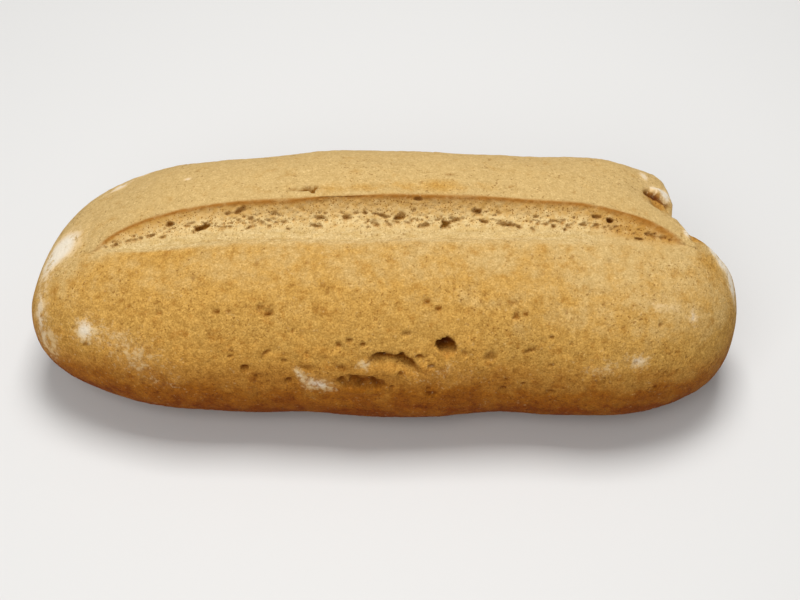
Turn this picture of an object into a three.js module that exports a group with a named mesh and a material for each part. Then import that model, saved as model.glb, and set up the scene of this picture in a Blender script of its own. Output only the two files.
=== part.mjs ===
// A rustic bread loaf: one long loaf shaped by hand, slashed once along its top so that the back lobe
// opened above the slash, with burst bubbles in its front crust and a torn notch at its right end.
// It is bread all the way through, so it is one closed body.
// Millimetres, +Z up. X runs along the loaf, the slash opens towards -Y, and the base lies on Z = 0.

import * as THREE from 'three';
import { mergeVertices } from 'three/addons/utils/BufferGeometryUtils.js';

const { clamp, degToRad, lerp, smoothstep } = THREE.MathUtils;

// Angles round the loaf, in degrees: from the middle of the base over the front, the ridge at 90 and the
// back to the middle of the base again
const FIRST_ANGLE = -90;
const FRONT_BASE_ANGLE = -62; // the front edge of the flat base
const FRONT_ANGLE = 0;
const PITTED_ANGLE = 40; // most of the marks lie below this
const BACK_ANGLE = 180;
const BACK_BASE_ANGLE = 242;
const LAST_ANGLE = 270;

// Overall sizes
const LENGTH = 280;
const FRONT_WIDTH = 53; // from the ridge to the front side
const BACK_WIDTH = 63; // from the ridge to the back side
const CROWN_HEIGHT = 69; // the dough in front of the slash
const WIDEST_AT = 8; // the loaf is widest a little right of its middle

// Cross-section: a rounded dome over a fuller lower half, cut off flat where it stands
const EQUATOR_SHARE = 0.42; // the widest level, as a share of the crown's height
const FLAT_DEPTH = 3; // how far the round base would reach below the flat one
const DOME_ROUNDNESS = 2.25; // 2 is an ellipse, more is squarer
const UNDERSIDE_ROUNDNESS = 2.5;

// Ends: larger powers make blunter ends
const LEFT_FRONT_BLUNTNESS = 3.2;
const LEFT_BACK_BLUNTNESS = 9;
const RIGHT_FRONT_BLUNTNESS = 5.2;
const RIGHT_BACK_BLUNTNESS = 4.7;
const TIP_HEIGHT = 28;
const HEIGHT_TAPER = 0.75; // the height falls off later than the width
const RIDGE_Y = -5.4;
const LEFT_TIP_Y = -15;
const RIGHT_TIP_Y = -13.5;
const RIDGE_BOW = 3.3; // how late the ridge bends towards the tips

// Right end: the back lobe stops short of the tip, and a narrow shoulder goes on past the notch
const BACK_LOBE_TIP = 117.8;
const LOBE_TOP_BLUNTNESS = 75;
const LOBE_SIDE_BLUNTNESS = 11;
const LOBE_SIDE_ANGLE = 190;
const LEAN_FROM = 60; // the place along the loaf where its end begins to lean in
const UNDERCUT = 8; // how far the lobe's end leans in below the shoulder of its dome
const UNDERCUT_START_ANGLE = 135;
const BITE = 4; // how far it leans in at the notch, where the crust tore away
const BITE_START_ANGLE = 97;
const BITE_DEEPEST_ANGLE = 113;
const BITE_END_ANGLE = 131;
const SHOULDER_WIDTH = 30;
const NOTCH_FILLET = 3.5;

// Gentle waves of the two long sides
const FRONT_WAVE = { height: 0.9, length: 85, crest: 6 };
const BACK_WAVE = { height: 1.3, length: 100, crest: -15 };

// Slash: the angles of its front edge, of its valley and of the lip above, and its other sizes
const SLASH_MIDDLE = 2;
const SLASH_HALF_LENGTH = 118;
const SLASH_TIP = 113; // from its middle to the points where its edges meet
const SLASH_MEET_ANGLE = 89.3;
const TIP_SHARPNESS = 7; // how late the edges close up towards the tips
const TIP_GAPE = 0.15; // how far they still are apart at the tips, as a share
const SLASH_FRONT_ANGLE = 81;
const VALLEY_ANGLE = 86.5;
const LIP_ANGLE = 96;
const VALLEY_DEPTH = 2.5;
const LIP_RISE = 6.6; // how far the lip stands above the front of the slash
const CLIMB_POWER = 2.2; // the wall climbs from the valley to the lip in a hollow curve
const LIP_CURL = 0.8; // how far the lip curls up above the lobe behind it
const LIP_EDGE = 2; // degrees over which the curl starts
const LIP_FADE = 14; // degrees behind the lip over which it ends
const SWELL = 1.9; // how much further the back lobe rises behind the lip
const SWELL_REACH = 18; // degrees behind the lip over which it rises
const SLASH_FULLNESS = 1.7; // how evenly the slash stays open along its length
const SLASH_END_TAPER = 0.8;
const SETTLE_SHARE = 0.3; // the share of the slash's half length over which the lifted lobe settles
const SETTLE_ANGLE = 125; // from here back it settles smoothly, without the lip's crease

// Low lumps of the hand-shaped dough: each is a wave along the loaf that also winds round it
const LUMPS = [
  { height: 0.3, length: 97, turns: 2, phase: 40 },
  { height: 0.25, length: -58, turns: 3, phase: 150 },
  { height: 0.15, length: 37, turns: 5, phase: 260 },
];

// Marks in the crust: place along the loaf, angle round it, length along and width across, depth (a
// swelling or a flake has less than 0), how softly it fades to its rim (half is a round bowl), turn from
// the loaf's length and droop of a curved mark's ends
const MARKS = {
  lobeSwelling: { along: 100, angle: 128, length: 44, width: 32, depth: -1, fade: 2, turn: 0, droop: 0 },
  shoulderSwelling: { along: 121, angle: 97, length: 30, width: 20, depth: -1.3, fade: 2, turn: 0, droop: 0 },
  tornFlap: { along: 113, angle: 118.5, length: 8, width: 5, depth: -1.3, fade: 2, turn: 0, droop: 0 },
  burstBubble: { along: 24, angle: 30.8, length: 8.4, width: 7.2, depth: 6, fade: 0.7, turn: 0, droop: 0 },
  crescentTear: { along: 4.6, angle: 23.4, length: 19, width: 6, depth: 2.6, fade: 1, turn: -16, droop: 3.2 },
  sunkenBand: { along: -8.2, angle: 10.4, length: 20, width: 6.8, depth: 2.2, fade: 0.5, turn: -3, droop: 0 },
  endTear: { along: 111.2, angle: 107.6, length: 7.5, width: 9, depth: 3, fade: 1, turn: -10, droop: 0 },
  backFlake: { along: -28.5, angle: 99.6, length: 12, width: 5, depth: -1, fade: 1, turn: 0, droop: 0 },
  slantPit: { along: -43.6, angle: 48.9, length: 7.6, width: 4.6, depth: 1.4, fade: 1, turn: -28, droop: 0 },
  softDimple: { along: 39.9, angle: 24.6, length: 7, width: 6, depth: 1.2, fade: 1, turn: 0, droop: 0 },
  lowDent: { along: -51.7, angle: 16.5, length: 5, width: 4.6, depth: 1.2, fade: 1, turn: 0, droop: 0 },
};

// Skin grid: stretches of columns along the loaf and of rows round it, finest where the marks and the
// notch are
const LEFT_END = -100; // where the left end starts to round off
const MARKED_FROM = -20;
const MARKED_TO = 48;
const NOTCH_FROM = 105;
const NOTCH_TO = 121;
const COLUMN_STRETCHES = [
  { to: LEFT_END, steps: 14, closesAt: 'start' },
  { to: MARKED_FROM, steps: 18 },
  { to: MARKED_TO, steps: 40 },
  { to: NOTCH_FROM, steps: 13 },
  { to: NOTCH_TO, steps: 9 },
  { to: LENGTH / 2, steps: 11, closesAt: 'end' },
];
const ROW_STRETCHES = [
  { to: FRONT_BASE_ANGLE, steps: 2 },
  { to: FRONT_ANGLE, steps: 5 },
  { to: PITTED_ANGLE, steps: 17 },
  { to: SLASH_FRONT_ANGLE, steps: 6 },
  { to: VALLEY_ANGLE, steps: 2 },
  { to: LIP_ANGLE, steps: 5 },
  { to: LIP_ANGLE + LIP_FADE, steps: 4 },
  { to: BACK_ANGLE, steps: 9 },
  { to: BACK_BASE_ANGLE, steps: 5 },
  { to: LAST_ANGLE, steps: 2 },
];
const ROWS_BEND_FROM = 66; // between these angles the rows close up with the slash at its tips
const ROWS_BEND_TO = 112;
const MERGE_DISTANCE = 1e-3; // vertices closer than this are one

const CRUST = { color: 0xcf9f56, roughness: 0.85, metalness: 0 };

// A share of the way through a stretch, with the steps closing up towards a tip of the loaf
function closingShare(share, closesAt) {
  if (closesAt === 'start') {
    return share ** 2;
  }
  return closesAt === 'end' ? 1 - (1 - share) ** 2 : share;
}

// The places of the grid's lines from a first one on, stretch by stretch
function linePlaces(first, stretches) {
  const places = [first];
  for (const { to, steps, closesAt } of stretches) {
    const from = places.at(-1);
    for (let step = 1; step <= steps; step++) {
      places.push(lerp(from, to, closingShare(step / steps, closesAt)));
    }
  }
  return places;
}

// How full the loaf is at a fraction of the way to an end: 1 up to the middle, 0 at the end
function fullness(fraction, bluntness) {
  return Math.sqrt(1 - clamp(fraction, 0, 1) ** bluntness);
}

// A smooth rise from start to peak, and a fall from there to end
function hump(value, start, peak, end) {
  return smoothstep(value, start, peak) - smoothstep(value, peak, end);
}

// The larger of two widths, with a fillet where they cross
function filletedMax(a, b, fillet) {
  const overlap = Math.max(fillet - Math.abs(a - b), 0);
  const fill = overlap > 0 ? overlap ** 2 / (4 * fillet) : 0;
  return Math.max(a, b) + fill;
}

function wave(x, { height, length, crest }) {
  return height * Math.cos((2 * Math.PI * (x - crest)) / length);
}

function signedPower(value, power) {
  return Math.sign(value) * Math.abs(value) ** power;
}

// How far a place is from the slash's middle to its end, as a share from 0 to 1
function slashShare(x) {
  return clamp(Math.abs(x - SLASH_MIDDLE) / SLASH_HALF_LENGTH, 0, 1);
}

// How far the slash is open: 1 in its middle, 0 at and past its ends
function slashOpening(x) {
  return (1 - slashShare(x) ** SLASH_FULLNESS) ** SLASH_END_TAPER;
}

// An angle of the slash at a place along the loaf: full in its middle, closing up at its tips
function slashAngle(x, full) {
  const share = clamp(Math.abs(x - SLASH_MIDDLE) / SLASH_TIP, 0, 1);
  const gape = lerp(1, TIP_GAPE, share ** TIP_SHARPNESS);
  return lerp(SLASH_MEET_ANGLE, full, gape);
}

// The angle of one of the grid's rows at a place along the loaf: the slash's rows follow its edges
function rowAngleAt(x, angle) {
  const front = smoothstep(angle, ROWS_BEND_FROM, SLASH_FRONT_ANGLE);
  const back = smoothstep(angle, LIP_ANGLE, ROWS_BEND_TO);
  return lerp(angle, slashAngle(x, angle), front - back);
}

// How far the back lobe stands above the front: a hollow climb to its lip and a swell behind it, which
// settles smoothly on the lobe's far side
function lobeLift(x, angle) {
  const lip = slashAngle(x, LIP_ANGLE);
  const valley = slashAngle(x, VALLEY_ANGLE);
  const settled = smoothstep(1 - slashShare(x), 0, SETTLE_SHARE);
  const settling = smoothstep(angle, lip, SETTLE_ANGLE);
  const climb = clamp((angle - valley) / (lip - valley), 0, 1) ** CLIMB_POWER;
  const lift = LIP_RISE * climb + SWELL * smoothstep(angle, lip, lip + SWELL_REACH);
  return lift * slashOpening(x) * lerp(1, settled, settling);
}

// How far a cross-section leans in at the notch's bite and low on its back, most at the back lobe's end
function endLean(x, angle) {
  const low = UNDERCUT * hump(angle, UNDERCUT_START_ANGLE, BACK_BASE_ANGLE, LAST_ANGLE);
  const bitten = BITE * hump(angle, BITE_START_ANGLE, BITE_DEEPEST_ANGLE, BITE_END_ANGLE);
  return (low + bitten) * hump(x, LEAN_FROM, BACK_LOBE_TIP, LENGTH / 2);
}

// How full the back lobe is towards its end, which is blunt on top and rounder down its side
function lobeFullness(x, angle) {
  const side = smoothstep(angle, UNDERCUT_START_ANGLE, LOBE_SIDE_ANGLE);
  const bluntness = lerp(LOBE_TOP_BLUNTNESS, LOBE_SIDE_BLUNTNESS, side);
  return fullness((x - WIDEST_AT) / (BACK_LOBE_TIP - WIDEST_AT), bluntness);
}

// The sizes of the loaf's cross-section at a place along it and an angle round it
function sectionAt(x, angle) {
  const half = LENGTH / 2;
  const toLeft = (WIDEST_AT - x) / (half + WIDEST_AT);
  const toRight = (x - WIDEST_AT) / (half - WIDEST_AT);
  const leftFrontFull = fullness(toLeft, LEFT_FRONT_BLUNTNESS);
  const leftBackFull = fullness(toLeft, LEFT_BACK_BLUNTNESS);
  const rightBackFull = fullness(toRight, RIGHT_BACK_BLUNTNESS);
  const full = leftFrontFull * rightBackFull;
  const frontFull = leftFrontFull * fullness(toRight, RIGHT_FRONT_BLUNTNESS);
  const backFull = leftBackFull * rightBackFull;
  const lobe = (BACK_WIDTH + wave(x, BACK_WAVE)) * leftBackFull * lobeFullness(x, angle);
  const shoulder = SHOULDER_WIDTH * backFull;
  const heightFull = full ** HEIGHT_TAPER;
  const tipY = toLeft > toRight ? LEFT_TIP_Y : RIGHT_TIP_Y;
  const equator = EQUATOR_SHARE * CROWN_HEIGHT;
  return {
    full,
    front: (FRONT_WIDTH + wave(x, FRONT_WAVE)) * frontFull,
    back: filletedMax(lobe, shoulder, NOTCH_FILLET * backFull),
    ridge: RIDGE_Y + (tipY - RIDGE_Y) * clamp(Math.max(toLeft, toRight), 0, 1) ** RIDGE_BOW,
    middle: TIP_HEIGHT + (equator - TIP_HEIGHT) * heightFull,
    rise: (CROWN_HEIGHT - equator) * heightFull,
    drop: (equator + FLAT_DEPTH) * heightFull,
    opening: slashOpening(x),
  };
}

// The bare skin: a superellipse round the ridge line, with the slash's valley, wall and lip
function skinPoint(x, angle) {
  const section = sectionAt(x, angle);
  const cosine = Math.cos(degToRad(angle));
  const sine = Math.sin(degToRad(angle));
  const upper = sine > 0;
  const power = 2 / (upper ? DOME_ROUNDNESS : UNDERSIDE_ROUNDNESS);
  const width = cosine > 0 ? section.front : section.back;
  const height = upper ? section.rise + lobeLift(x, angle) : section.drop;
  const front = slashAngle(x, SLASH_FRONT_ANGLE);
  const lip = slashAngle(x, LIP_ANGLE);
  const valley = section.opening * hump(angle, front, slashAngle(x, VALLEY_ANGLE), lip);
  const curl = section.opening * hump(angle, lip - LIP_EDGE, lip, lip + LIP_FADE);
  return {
    section,
    y: section.ridge - width * signedPower(cosine, power),
    z: section.middle + height * signedPower(sine, power) - VALLEY_DEPTH * valley + LIP_CURL * curl,
  };
}

// Height of the lumps, 0 at the two tips
function lumpHeight(x, angle, full) {
  let height = 0;
  for (const lump of LUMPS) {
    const turn = (2 * Math.PI * x) / lump.length + degToRad(lump.turns * angle + lump.phase);
    height += lump.height * Math.cos(turn);
  }
  return height * full;
}

// Depth of one mark with an oval rim, at a point of the skin
function markDepth(mark, x, angle, point) {
  const centre = skinPoint(mark.along, mark.angle);
  const across = Math.sign(angle - mark.angle) * Math.hypot(point.y - centre.y, point.z - centre.z);
  const cosine = Math.cos(degToRad(mark.turn));
  const sine = Math.sin(degToRad(mark.turn));
  const p = ((x - mark.along) * cosine + across * sine) / (mark.length / 2);
  const q = (across * cosine - (x - mark.along) * sine + mark.droop * p * p) / (mark.width / 2);
  return mark.depth * Math.max(0, 1 - p * p - q * q) ** mark.fade;
}

// The finished crust: the skin moved out by its lumps and in by its marks, and cut off flat below
function crustPoint(x, angle) {
  const point = skinPoint(x, angle);
  const { full, ridge, middle } = point.section;
  let outward = lumpHeight(x, angle, full);
  for (const mark of Object.values(MARKS)) {
    outward -= markDepth(mark, x, angle, point);
  }
  const radius = Math.max(Math.hypot(point.y - ridge, point.z - middle), MERGE_DISTANCE);
  const y = point.y + (outward * (point.y - ridge)) / radius;
  const z = point.z + (outward * (point.z - middle)) / radius;
  return [x - endLean(x, angle), y, Math.max(z, 0)];
}

// A sphere's closed grid, its poles at the loaf's tips, with each vertex moved onto the crust
function loafGeometry() {
  const angles = linePlaces(FIRST_ANGLE, ROW_STRETCHES);
  const alongs = linePlaces(-LENGTH / 2, COLUMN_STRETCHES);
  const rows = angles.length - 1;
  const columns = alongs.length - 1;
  const grid = new THREE.SphereGeometry(1, rows, columns);
  const { position } = grid.attributes;
  for (let index = 0; index < position.count; index++) {
    const column = Math.floor(index / (rows + 1));
    const row = index % (rows + 1);
    const x = alongs[columns - column];
    position.setXYZ(index, ...crustPoint(x, rowAngleAt(x, angles[rows - row])));
  }
  grid.deleteAttribute('normal');
  grid.deleteAttribute('uv');
  const closed = mergeVertices(grid, MERGE_DISTANCE);
  closed.computeVertexNormals();
  return closed;
}

const loaf = new THREE.Mesh(loafGeometry(), new THREE.MeshStandardMaterial(CRUST));
loaf.name = 'loaf';

const breadLoaf = new THREE.Group();
breadLoaf.add(loaf);

export default breadLoaf;
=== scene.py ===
"""A rustic bread loaf: slashed along its ridge, pitted in front, floured at its ends and torn at the right.

The loaf is one closed skin over a grid of angles round it and places along it. Its sizes are millimetres in
the loaf's own frame, X along it, the slash opening towards -Y and +Z up, and become metres in the mesh.
"""
import logging
from dataclasses import dataclass
from enum import Enum
from typing import Any

import bpy
import numpy as np
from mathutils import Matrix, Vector

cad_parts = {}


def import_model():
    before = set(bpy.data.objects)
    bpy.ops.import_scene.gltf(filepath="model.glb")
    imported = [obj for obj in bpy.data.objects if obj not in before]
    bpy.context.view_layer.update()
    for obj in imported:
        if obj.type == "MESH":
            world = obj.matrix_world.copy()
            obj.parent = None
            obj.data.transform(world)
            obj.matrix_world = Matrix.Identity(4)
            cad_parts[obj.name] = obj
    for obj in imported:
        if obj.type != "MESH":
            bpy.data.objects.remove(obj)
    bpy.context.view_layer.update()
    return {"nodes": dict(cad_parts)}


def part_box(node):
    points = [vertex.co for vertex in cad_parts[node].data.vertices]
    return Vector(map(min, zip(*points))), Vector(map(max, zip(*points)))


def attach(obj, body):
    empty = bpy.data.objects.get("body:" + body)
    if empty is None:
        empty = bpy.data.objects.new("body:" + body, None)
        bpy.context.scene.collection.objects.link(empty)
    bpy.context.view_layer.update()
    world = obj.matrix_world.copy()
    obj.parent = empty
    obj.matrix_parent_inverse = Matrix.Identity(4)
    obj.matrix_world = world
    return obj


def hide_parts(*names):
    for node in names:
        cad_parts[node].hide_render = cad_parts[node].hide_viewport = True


PIECE = "bread_loaf"
LOG = logging.getLogger(PIECE)
NODE = "loaf"
BODY = "root"
UV_MAP = "OFBake"
MM = 0.001
LEAST_FILLET = 0.001
LEAST_LENGTH = 1.0e-6

Array = np.ndarray
Colour = tuple[float, float, float, float]
Socket = bpy.types.NodeSocket


def ease(value: Array, start: float, end: float) -> Array:
    """Smoothstep: 0 up to start, 1 from end on, and 3 t^2 - 2 t^3 at a share t of the way.

    Args:
        value: Values to ease.
        start: Where the rise starts.
        end: Where it ends; a smaller end than start gives a fall.

    Returns:
        The eased values, from 0 to 1.
    """
    share = np.clip((value - start) / (end - start), 0.0, 1.0)
    return share * share * (3.0 - 2.0 * share)


def hump(value: Array, start: float, peak: float, end: float) -> Array:
    """A smooth rise from start to peak, and a fall from there to end."""
    return ease(value, start, peak) - ease(value, peak, end)


def fullness(share: Array, bluntness: float | Array) -> Array:
    """How full the loaf is at a share of the way to an end: the root of 1 - share^bluntness."""
    return np.sqrt(1.0 - np.clip(share, 0.0, 1.0) ** bluntness)


def signed_power(value: Array, power: Array) -> Array:
    """The power of a value's size, with the value's sign."""
    return np.sign(value) * np.abs(value) ** power


def filleted_max(first: Array, second: Array, fillet: Array) -> Array:
    """The larger of two widths, with a fillet where they cross.

    Args:
        first: One width.
        second: The other width.
        fillet: Difference of the widths over which they blend.

    Returns:
        The larger width, raised by a parabola where the two are close.
    """
    overlap = np.maximum(fillet - np.abs(first - second), 0.0)
    fill = overlap**2 / (4.0 * np.maximum(fillet, LEAST_FILLET))
    return np.maximum(first, second) + fill


def srgb(red: int, green: int, blue: int) -> Colour:
    """A colour as a screen shows it, made linear for the shaders by the standard screen curve.

    Args:
        red: Red, from 0 to 255.
        green: Green, from 0 to 255.
        blue: Blue, from 0 to 255.

    Returns:
        The linear colour with an alpha of 1.
    """
    screen = np.array([red, green, blue]) / 255.0
    linear = np.where(screen <= 0.04045, screen / 12.92, ((screen + 0.055) / 1.055) ** 2.4)
    return (*linear.tolist(), 1.0)


@dataclass(frozen=True)
class Grain:
    """Seeded smooth noise in space: random values on a cubic net, blended between its corners."""

    seed: int
    size: float
    height: float = 1.0
    net: int = 32

    def at(self, points: Array) -> Array:
        """The noise at points: the eight corner values of each point's cube, weighted by smoothstep.

        Args:
            points: Places in millimetres, with X, Y and Z in the last axis.

        Returns:
            Values up to the grain's height either way, one for each point.
        """
        values = np.random.default_rng(self.seed).uniform(-1.0, 1.0, (self.net,) * 3)
        place = points / self.size
        corner = np.floor(place).astype(int)
        blend = ease(place - corner, 0.0, 1.0)
        total = np.zeros(points.shape[:-1])
        for offset in np.ndindex(2, 2, 2):
            index = np.moveaxis((corner + offset) % self.net, -1, 0)
            weight = np.where(np.array(offset, bool), blend, 1.0 - blend)
            total += values[tuple(index)] * weight.prod(axis=-1)
        return self.height * total


def grain_sum(grains: tuple[Grain, ...], points: Array) -> Array:
    """The sum of grains of several sizes at points."""
    return sum(grain.at(points) for grain in grains)


@dataclass(frozen=True)
class Wave:
    """A gentle wave along one long side of the loaf."""

    height: float
    length: float
    crest: float

    def at(self, x: Array) -> Array:
        """The wave's height: a cosine with its crest at a place along the loaf."""
        return self.height * np.cos(2.0 * np.pi * (x - self.crest) / self.length)


@dataclass(frozen=True)
class Lump:
    """A low wave of the dough along the loaf that also winds round it a whole number of times."""

    height: float
    length: float
    turns: int
    phase: float

    def at(self, x: Array, angle: Array) -> Array:
        """The lump's height: a cosine of the place along the loaf and the angle round it."""
        winding = np.radians(self.turns * angle + self.phase)
        return self.height * np.cos(2.0 * np.pi * x / self.length + winding)


@dataclass(frozen=True)
class Sag:
    """A place where the slash's lip hangs lower: by how many degrees, and from where to where."""

    drop: float
    start: float
    lowest: float
    end: float

    def at(self, x: Array) -> Array:
        """The drop in degrees: smoothly from 0 to its most and back."""
        return self.drop * hump(x, self.start, self.lowest, self.end)


@dataclass(frozen=True)
class Stretch:
    """A stretch of rows round the loaf: the angle that it ends at, its rows and its share of the UV map."""

    to: float
    rows: int
    share: float


@dataclass(frozen=True)
class Section:
    """The cross-section over a grid: sizes in millimetres, and its fullness and its opening as shares."""

    full: Array
    front: Array
    back: Array
    ridge: Array
    middle: Array
    rise: Array
    drop: Array
    opening: Array


@dataclass(frozen=True)
class LoafForm:
    """The loaf's bare form: a superellipse carried along a bent ridge, with its slash and its notch.

    Angles round the loaf are degrees: -90 and 270 are the middle of the base, 0 the front, 90 the ridge and
    180 the back.
    """

    length: float
    front_width: float = 53.0
    back_width: float = 63.0
    crown_height: float = 69.0
    widest_at: float = 8.0
    equator_share: float = 0.42
    flat_depth: float = 3.0
    dome_roundness: float = 2.25
    underside_roundness: float = 2.5
    left_front_bluntness: float = 3.2
    left_back_bluntness: float = 9.0
    right_front_bluntness: float = 5.2
    right_back_bluntness: float = 4.7
    tip_height: float = 28.0
    height_taper: float = 0.75
    ridge_y: float = -5.4
    left_tip_y: float = -15.0
    right_tip_y: float = -13.5
    ridge_bow: float = 3.3
    lobe_tip: float = 117.8
    lobe_top_bluntness: float = 75.0
    lobe_side_bluntness: float = 11.0
    lobe_side_angle: float = 190.0
    undercut: float = 8.0
    undercut_angle: float = 135.0
    bite: float = 4.0
    bite_start: float = 97.0
    bite_deepest: float = 113.0
    bite_end: float = 131.0
    lean_from: float = 60.0
    cleft: float = 1.8
    cleft_slope: float = 48.0
    cleft_start: float = 44.0
    cleft_deepest: float = 46.3
    cleft_end: float = 51.5
    cleft_from: float = 100.0
    back_base_angle: float = 242.0
    last_angle: float = 270.0
    shoulder_width: float = 30.0
    notch_fillet: float = 3.5
    front_wave: Wave = Wave(0.9, 85.0, 6.0)
    back_wave: Wave = Wave(1.3, 100.0, -15.0)
    slash_middle: float = 2.0
    slash_half_length: float = 118.0
    slash_tip: float = 113.0
    slash_meet: float = 89.3
    tip_sharpness: float = 9.0
    tip_gap: float = 0.05
    slash_front: float = 81.0
    valley: float = 86.5
    wall_foot: float = 89.7
    lip: float = 96.0
    lip_sags: tuple[Sag, ...] = (Sag(1.0, -64.0, -36.0, -20.0), Sag(0.6, 36.0, 62.0, 86.0))
    lip_fade: float = 14.0
    lip_rise: float = 6.6
    lip_curl: float = 0.8
    lip_edge: float = 2.0
    swell: float = 1.9
    swell_reach: float = 18.0
    climb_power: float = 2.2
    valley_depth: float = 2.5
    slash_fullness: float = 1.7
    slash_end_taper: float = 0.8
    settle_share: float = 0.3
    settle_angle: float = 125.0
    lumps: tuple[Lump, ...] = (
        Lump(0.3, 97.0, 2, 40.0),
        Lump(0.25, -58.0, 3, 150.0),
        Lump(0.15, 37.0, 5, 260.0),
    )

    def slash_share(self, x: Array) -> Array:
        """How far a place is from the slash's middle to its end, from 0 to 1."""
        return np.clip(np.abs(x - self.slash_middle) / self.slash_half_length, 0.0, 1.0)

    def opening(self, x: Array) -> Array:
        """How far the slash is open: 1 in its middle and 0 at and past its ends."""
        return (1.0 - self.slash_share(x) ** self.slash_fullness) ** self.slash_end_taper

    def slash_angle(self, x: Array, full: float) -> Array:
        """An angle of the slash at a place along the loaf: full in its middle, closing up at its tips.

        Args:
            x: Places along the loaf.
            full: The angle where the slash is wide open.

        Returns:
            The angles in degrees.
        """
        share = np.clip(np.abs(x - self.slash_middle) / self.slash_tip, 0.0, 1.0)
        gape = self.tip_gap + (1.0 - self.tip_gap) * (1.0 - share**self.tip_sharpness)
        return self.slash_meet + (full - self.slash_meet) * gape

    def lip_angle(self, x: Array) -> Array:
        """The angle of the slash's lip, less its sags."""
        return self.slash_angle(x, self.lip) - sum(sag.at(x) for sag in self.lip_sags)

    def lobe_lift(self, x: Array, angle: Array) -> Array:
        """How far the back lobe stands above the front: a hollow climb to its lip and a swell behind it.

        Args:
            x: Places along the loaf.
            angle: Angles round it.

        Returns:
            The lift in millimetres.
        """
        lip = self.lip_angle(x)
        valley = self.slash_angle(x, self.valley)
        settled = ease(1.0 - self.slash_share(x), 0.0, self.settle_share)
        settling = ease(angle, lip, self.settle_angle)
        climb = np.clip((angle - valley) / (lip - valley), 0.0, 1.0) ** self.climb_power
        lift = self.lip_rise * climb + self.swell * ease(angle, lip, lip + self.swell_reach)
        return self.opening(x) * lift * (1.0 + (settled - 1.0) * settling)

    def lobe_fullness(self, x: Array, angle: Array) -> Array:
        """How full the back lobe is towards its end, blunt on top and rounder down its side.

        Args:
            x: Places along the loaf.
            angle: Angles round it.

        Returns:
            Shares from 0 to 1.
        """
        side = ease(angle, self.undercut_angle, self.lobe_side_angle)
        bluntness = self.lobe_top_bluntness + (self.lobe_side_bluntness - self.lobe_top_bluntness) * side
        return fullness((x - self.widest_at) / (self.lobe_tip - self.widest_at), bluntness)

    def end_lean(self, x: Array, angle: Array) -> Array:
        """How far a section leans in at the bite and low on its back, most at the back lobe's end.

        Args:
            x: Places along the loaf.
            angle: Angles round it.

        Returns:
            The lean along the loaf in millimetres.
        """
        lean = self.undercut * hump(angle, self.undercut_angle, self.back_base_angle, self.last_angle)
        lean = lean + self.bite * hump(angle, self.bite_start, self.bite_deepest, self.bite_end)
        return lean * hump(x, self.lean_from, self.lobe_tip, self.length / 2.0)

    def cleft_depth(self, points: Array) -> Array:
        """How deep the cleft is that runs aslant down the torn end of the back lobe.

        Args:
            points: Points of the skin.

        Returns:
            Depths along the loaf, a smooth groove over the distance to a sloping plane.
        """
        slope = np.radians(self.cleft_slope)
        distance = points[..., 1] * np.sin(slope) + points[..., 2] * np.cos(slope)
        groove = hump(distance, self.cleft_start, self.cleft_deepest, self.cleft_end)
        return self.cleft * groove * ease(points[..., 0], self.cleft_from, self.lobe_tip)

    def section(self, x: Array, angle: Array) -> Section:
        """The sizes of the cross-section: full widths and heights, times how full the loaf is there.

        Args:
            x: Places along the loaf.
            angle: Angles round it.

        Returns:
            The sizes over the grid of both.
        """
        half = self.length / 2.0
        to_left = (self.widest_at - x) / (half + self.widest_at)
        to_right = (x - self.widest_at) / (half - self.widest_at)
        left_front = fullness(to_left, self.left_front_bluntness)
        left_back = fullness(to_left, self.left_back_bluntness)
        right_back = fullness(to_right, self.right_back_bluntness)
        full = left_front * right_back
        front_full = left_front * fullness(to_right, self.right_front_bluntness)
        back_full = left_back * right_back
        lobe = (self.back_width + self.back_wave.at(x)) * left_back * self.lobe_fullness(x, angle)
        tip_y = np.where(to_left > to_right, self.left_tip_y, self.right_tip_y)
        bow = np.clip(np.maximum(to_left, to_right), 0.0, 1.0) ** self.ridge_bow
        equator = self.equator_share * self.crown_height
        height_full = full**self.height_taper
        return Section(
            full=full,
            front=(self.front_width + self.front_wave.at(x)) * front_full,
            back=filleted_max(lobe, self.shoulder_width * back_full, self.notch_fillet * back_full),
            ridge=self.ridge_y + (tip_y - self.ridge_y) * bow,
            middle=self.tip_height + (equator - self.tip_height) * height_full,
            rise=(self.crown_height - equator) * height_full,
            drop=(equator + self.flat_depth) * height_full,
            opening=self.opening(x),
        )

    def skin(self, x: Array, angle: Array) -> tuple[Section, Array, Array]:
        """The bare skin: a superellipse round the ridge line, with the slash's valley, wall and lip.

        Args:
            x: Places along the loaf.
            angle: Angles round it.

        Returns:
            The sections, and Y and Z of the skin.
        """
        section = self.section(x, angle)
        cosine = np.cos(np.radians(angle))
        sine = np.sin(np.radians(angle))
        upper = sine > 0.0
        power = 2.0 / np.where(upper, self.dome_roundness, self.underside_roundness)
        width = np.where(cosine > 0.0, section.front, section.back)
        height = np.where(upper, section.rise + self.lobe_lift(x, angle), section.drop)
        lip = self.lip_angle(x)
        low = self.slash_angle(x, self.valley)
        valley = section.opening * hump(angle, self.slash_angle(x, self.slash_front), low, lip)
        curl = section.opening * hump(angle, lip - self.lip_edge, lip, lip + self.lip_fade)
        y = section.ridge - width * signed_power(cosine, power)
        z = section.middle + height * signed_power(sine, power)
        return section, y, z - self.valley_depth * valley + self.lip_curl * curl

    def lump_height(self, x: Array, angle: Array, full: Array) -> Array:
        """The height of all the lumps, which fade to nothing at the tips."""
        return sum(lump.at(x, angle) for lump in self.lumps) * full


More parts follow.
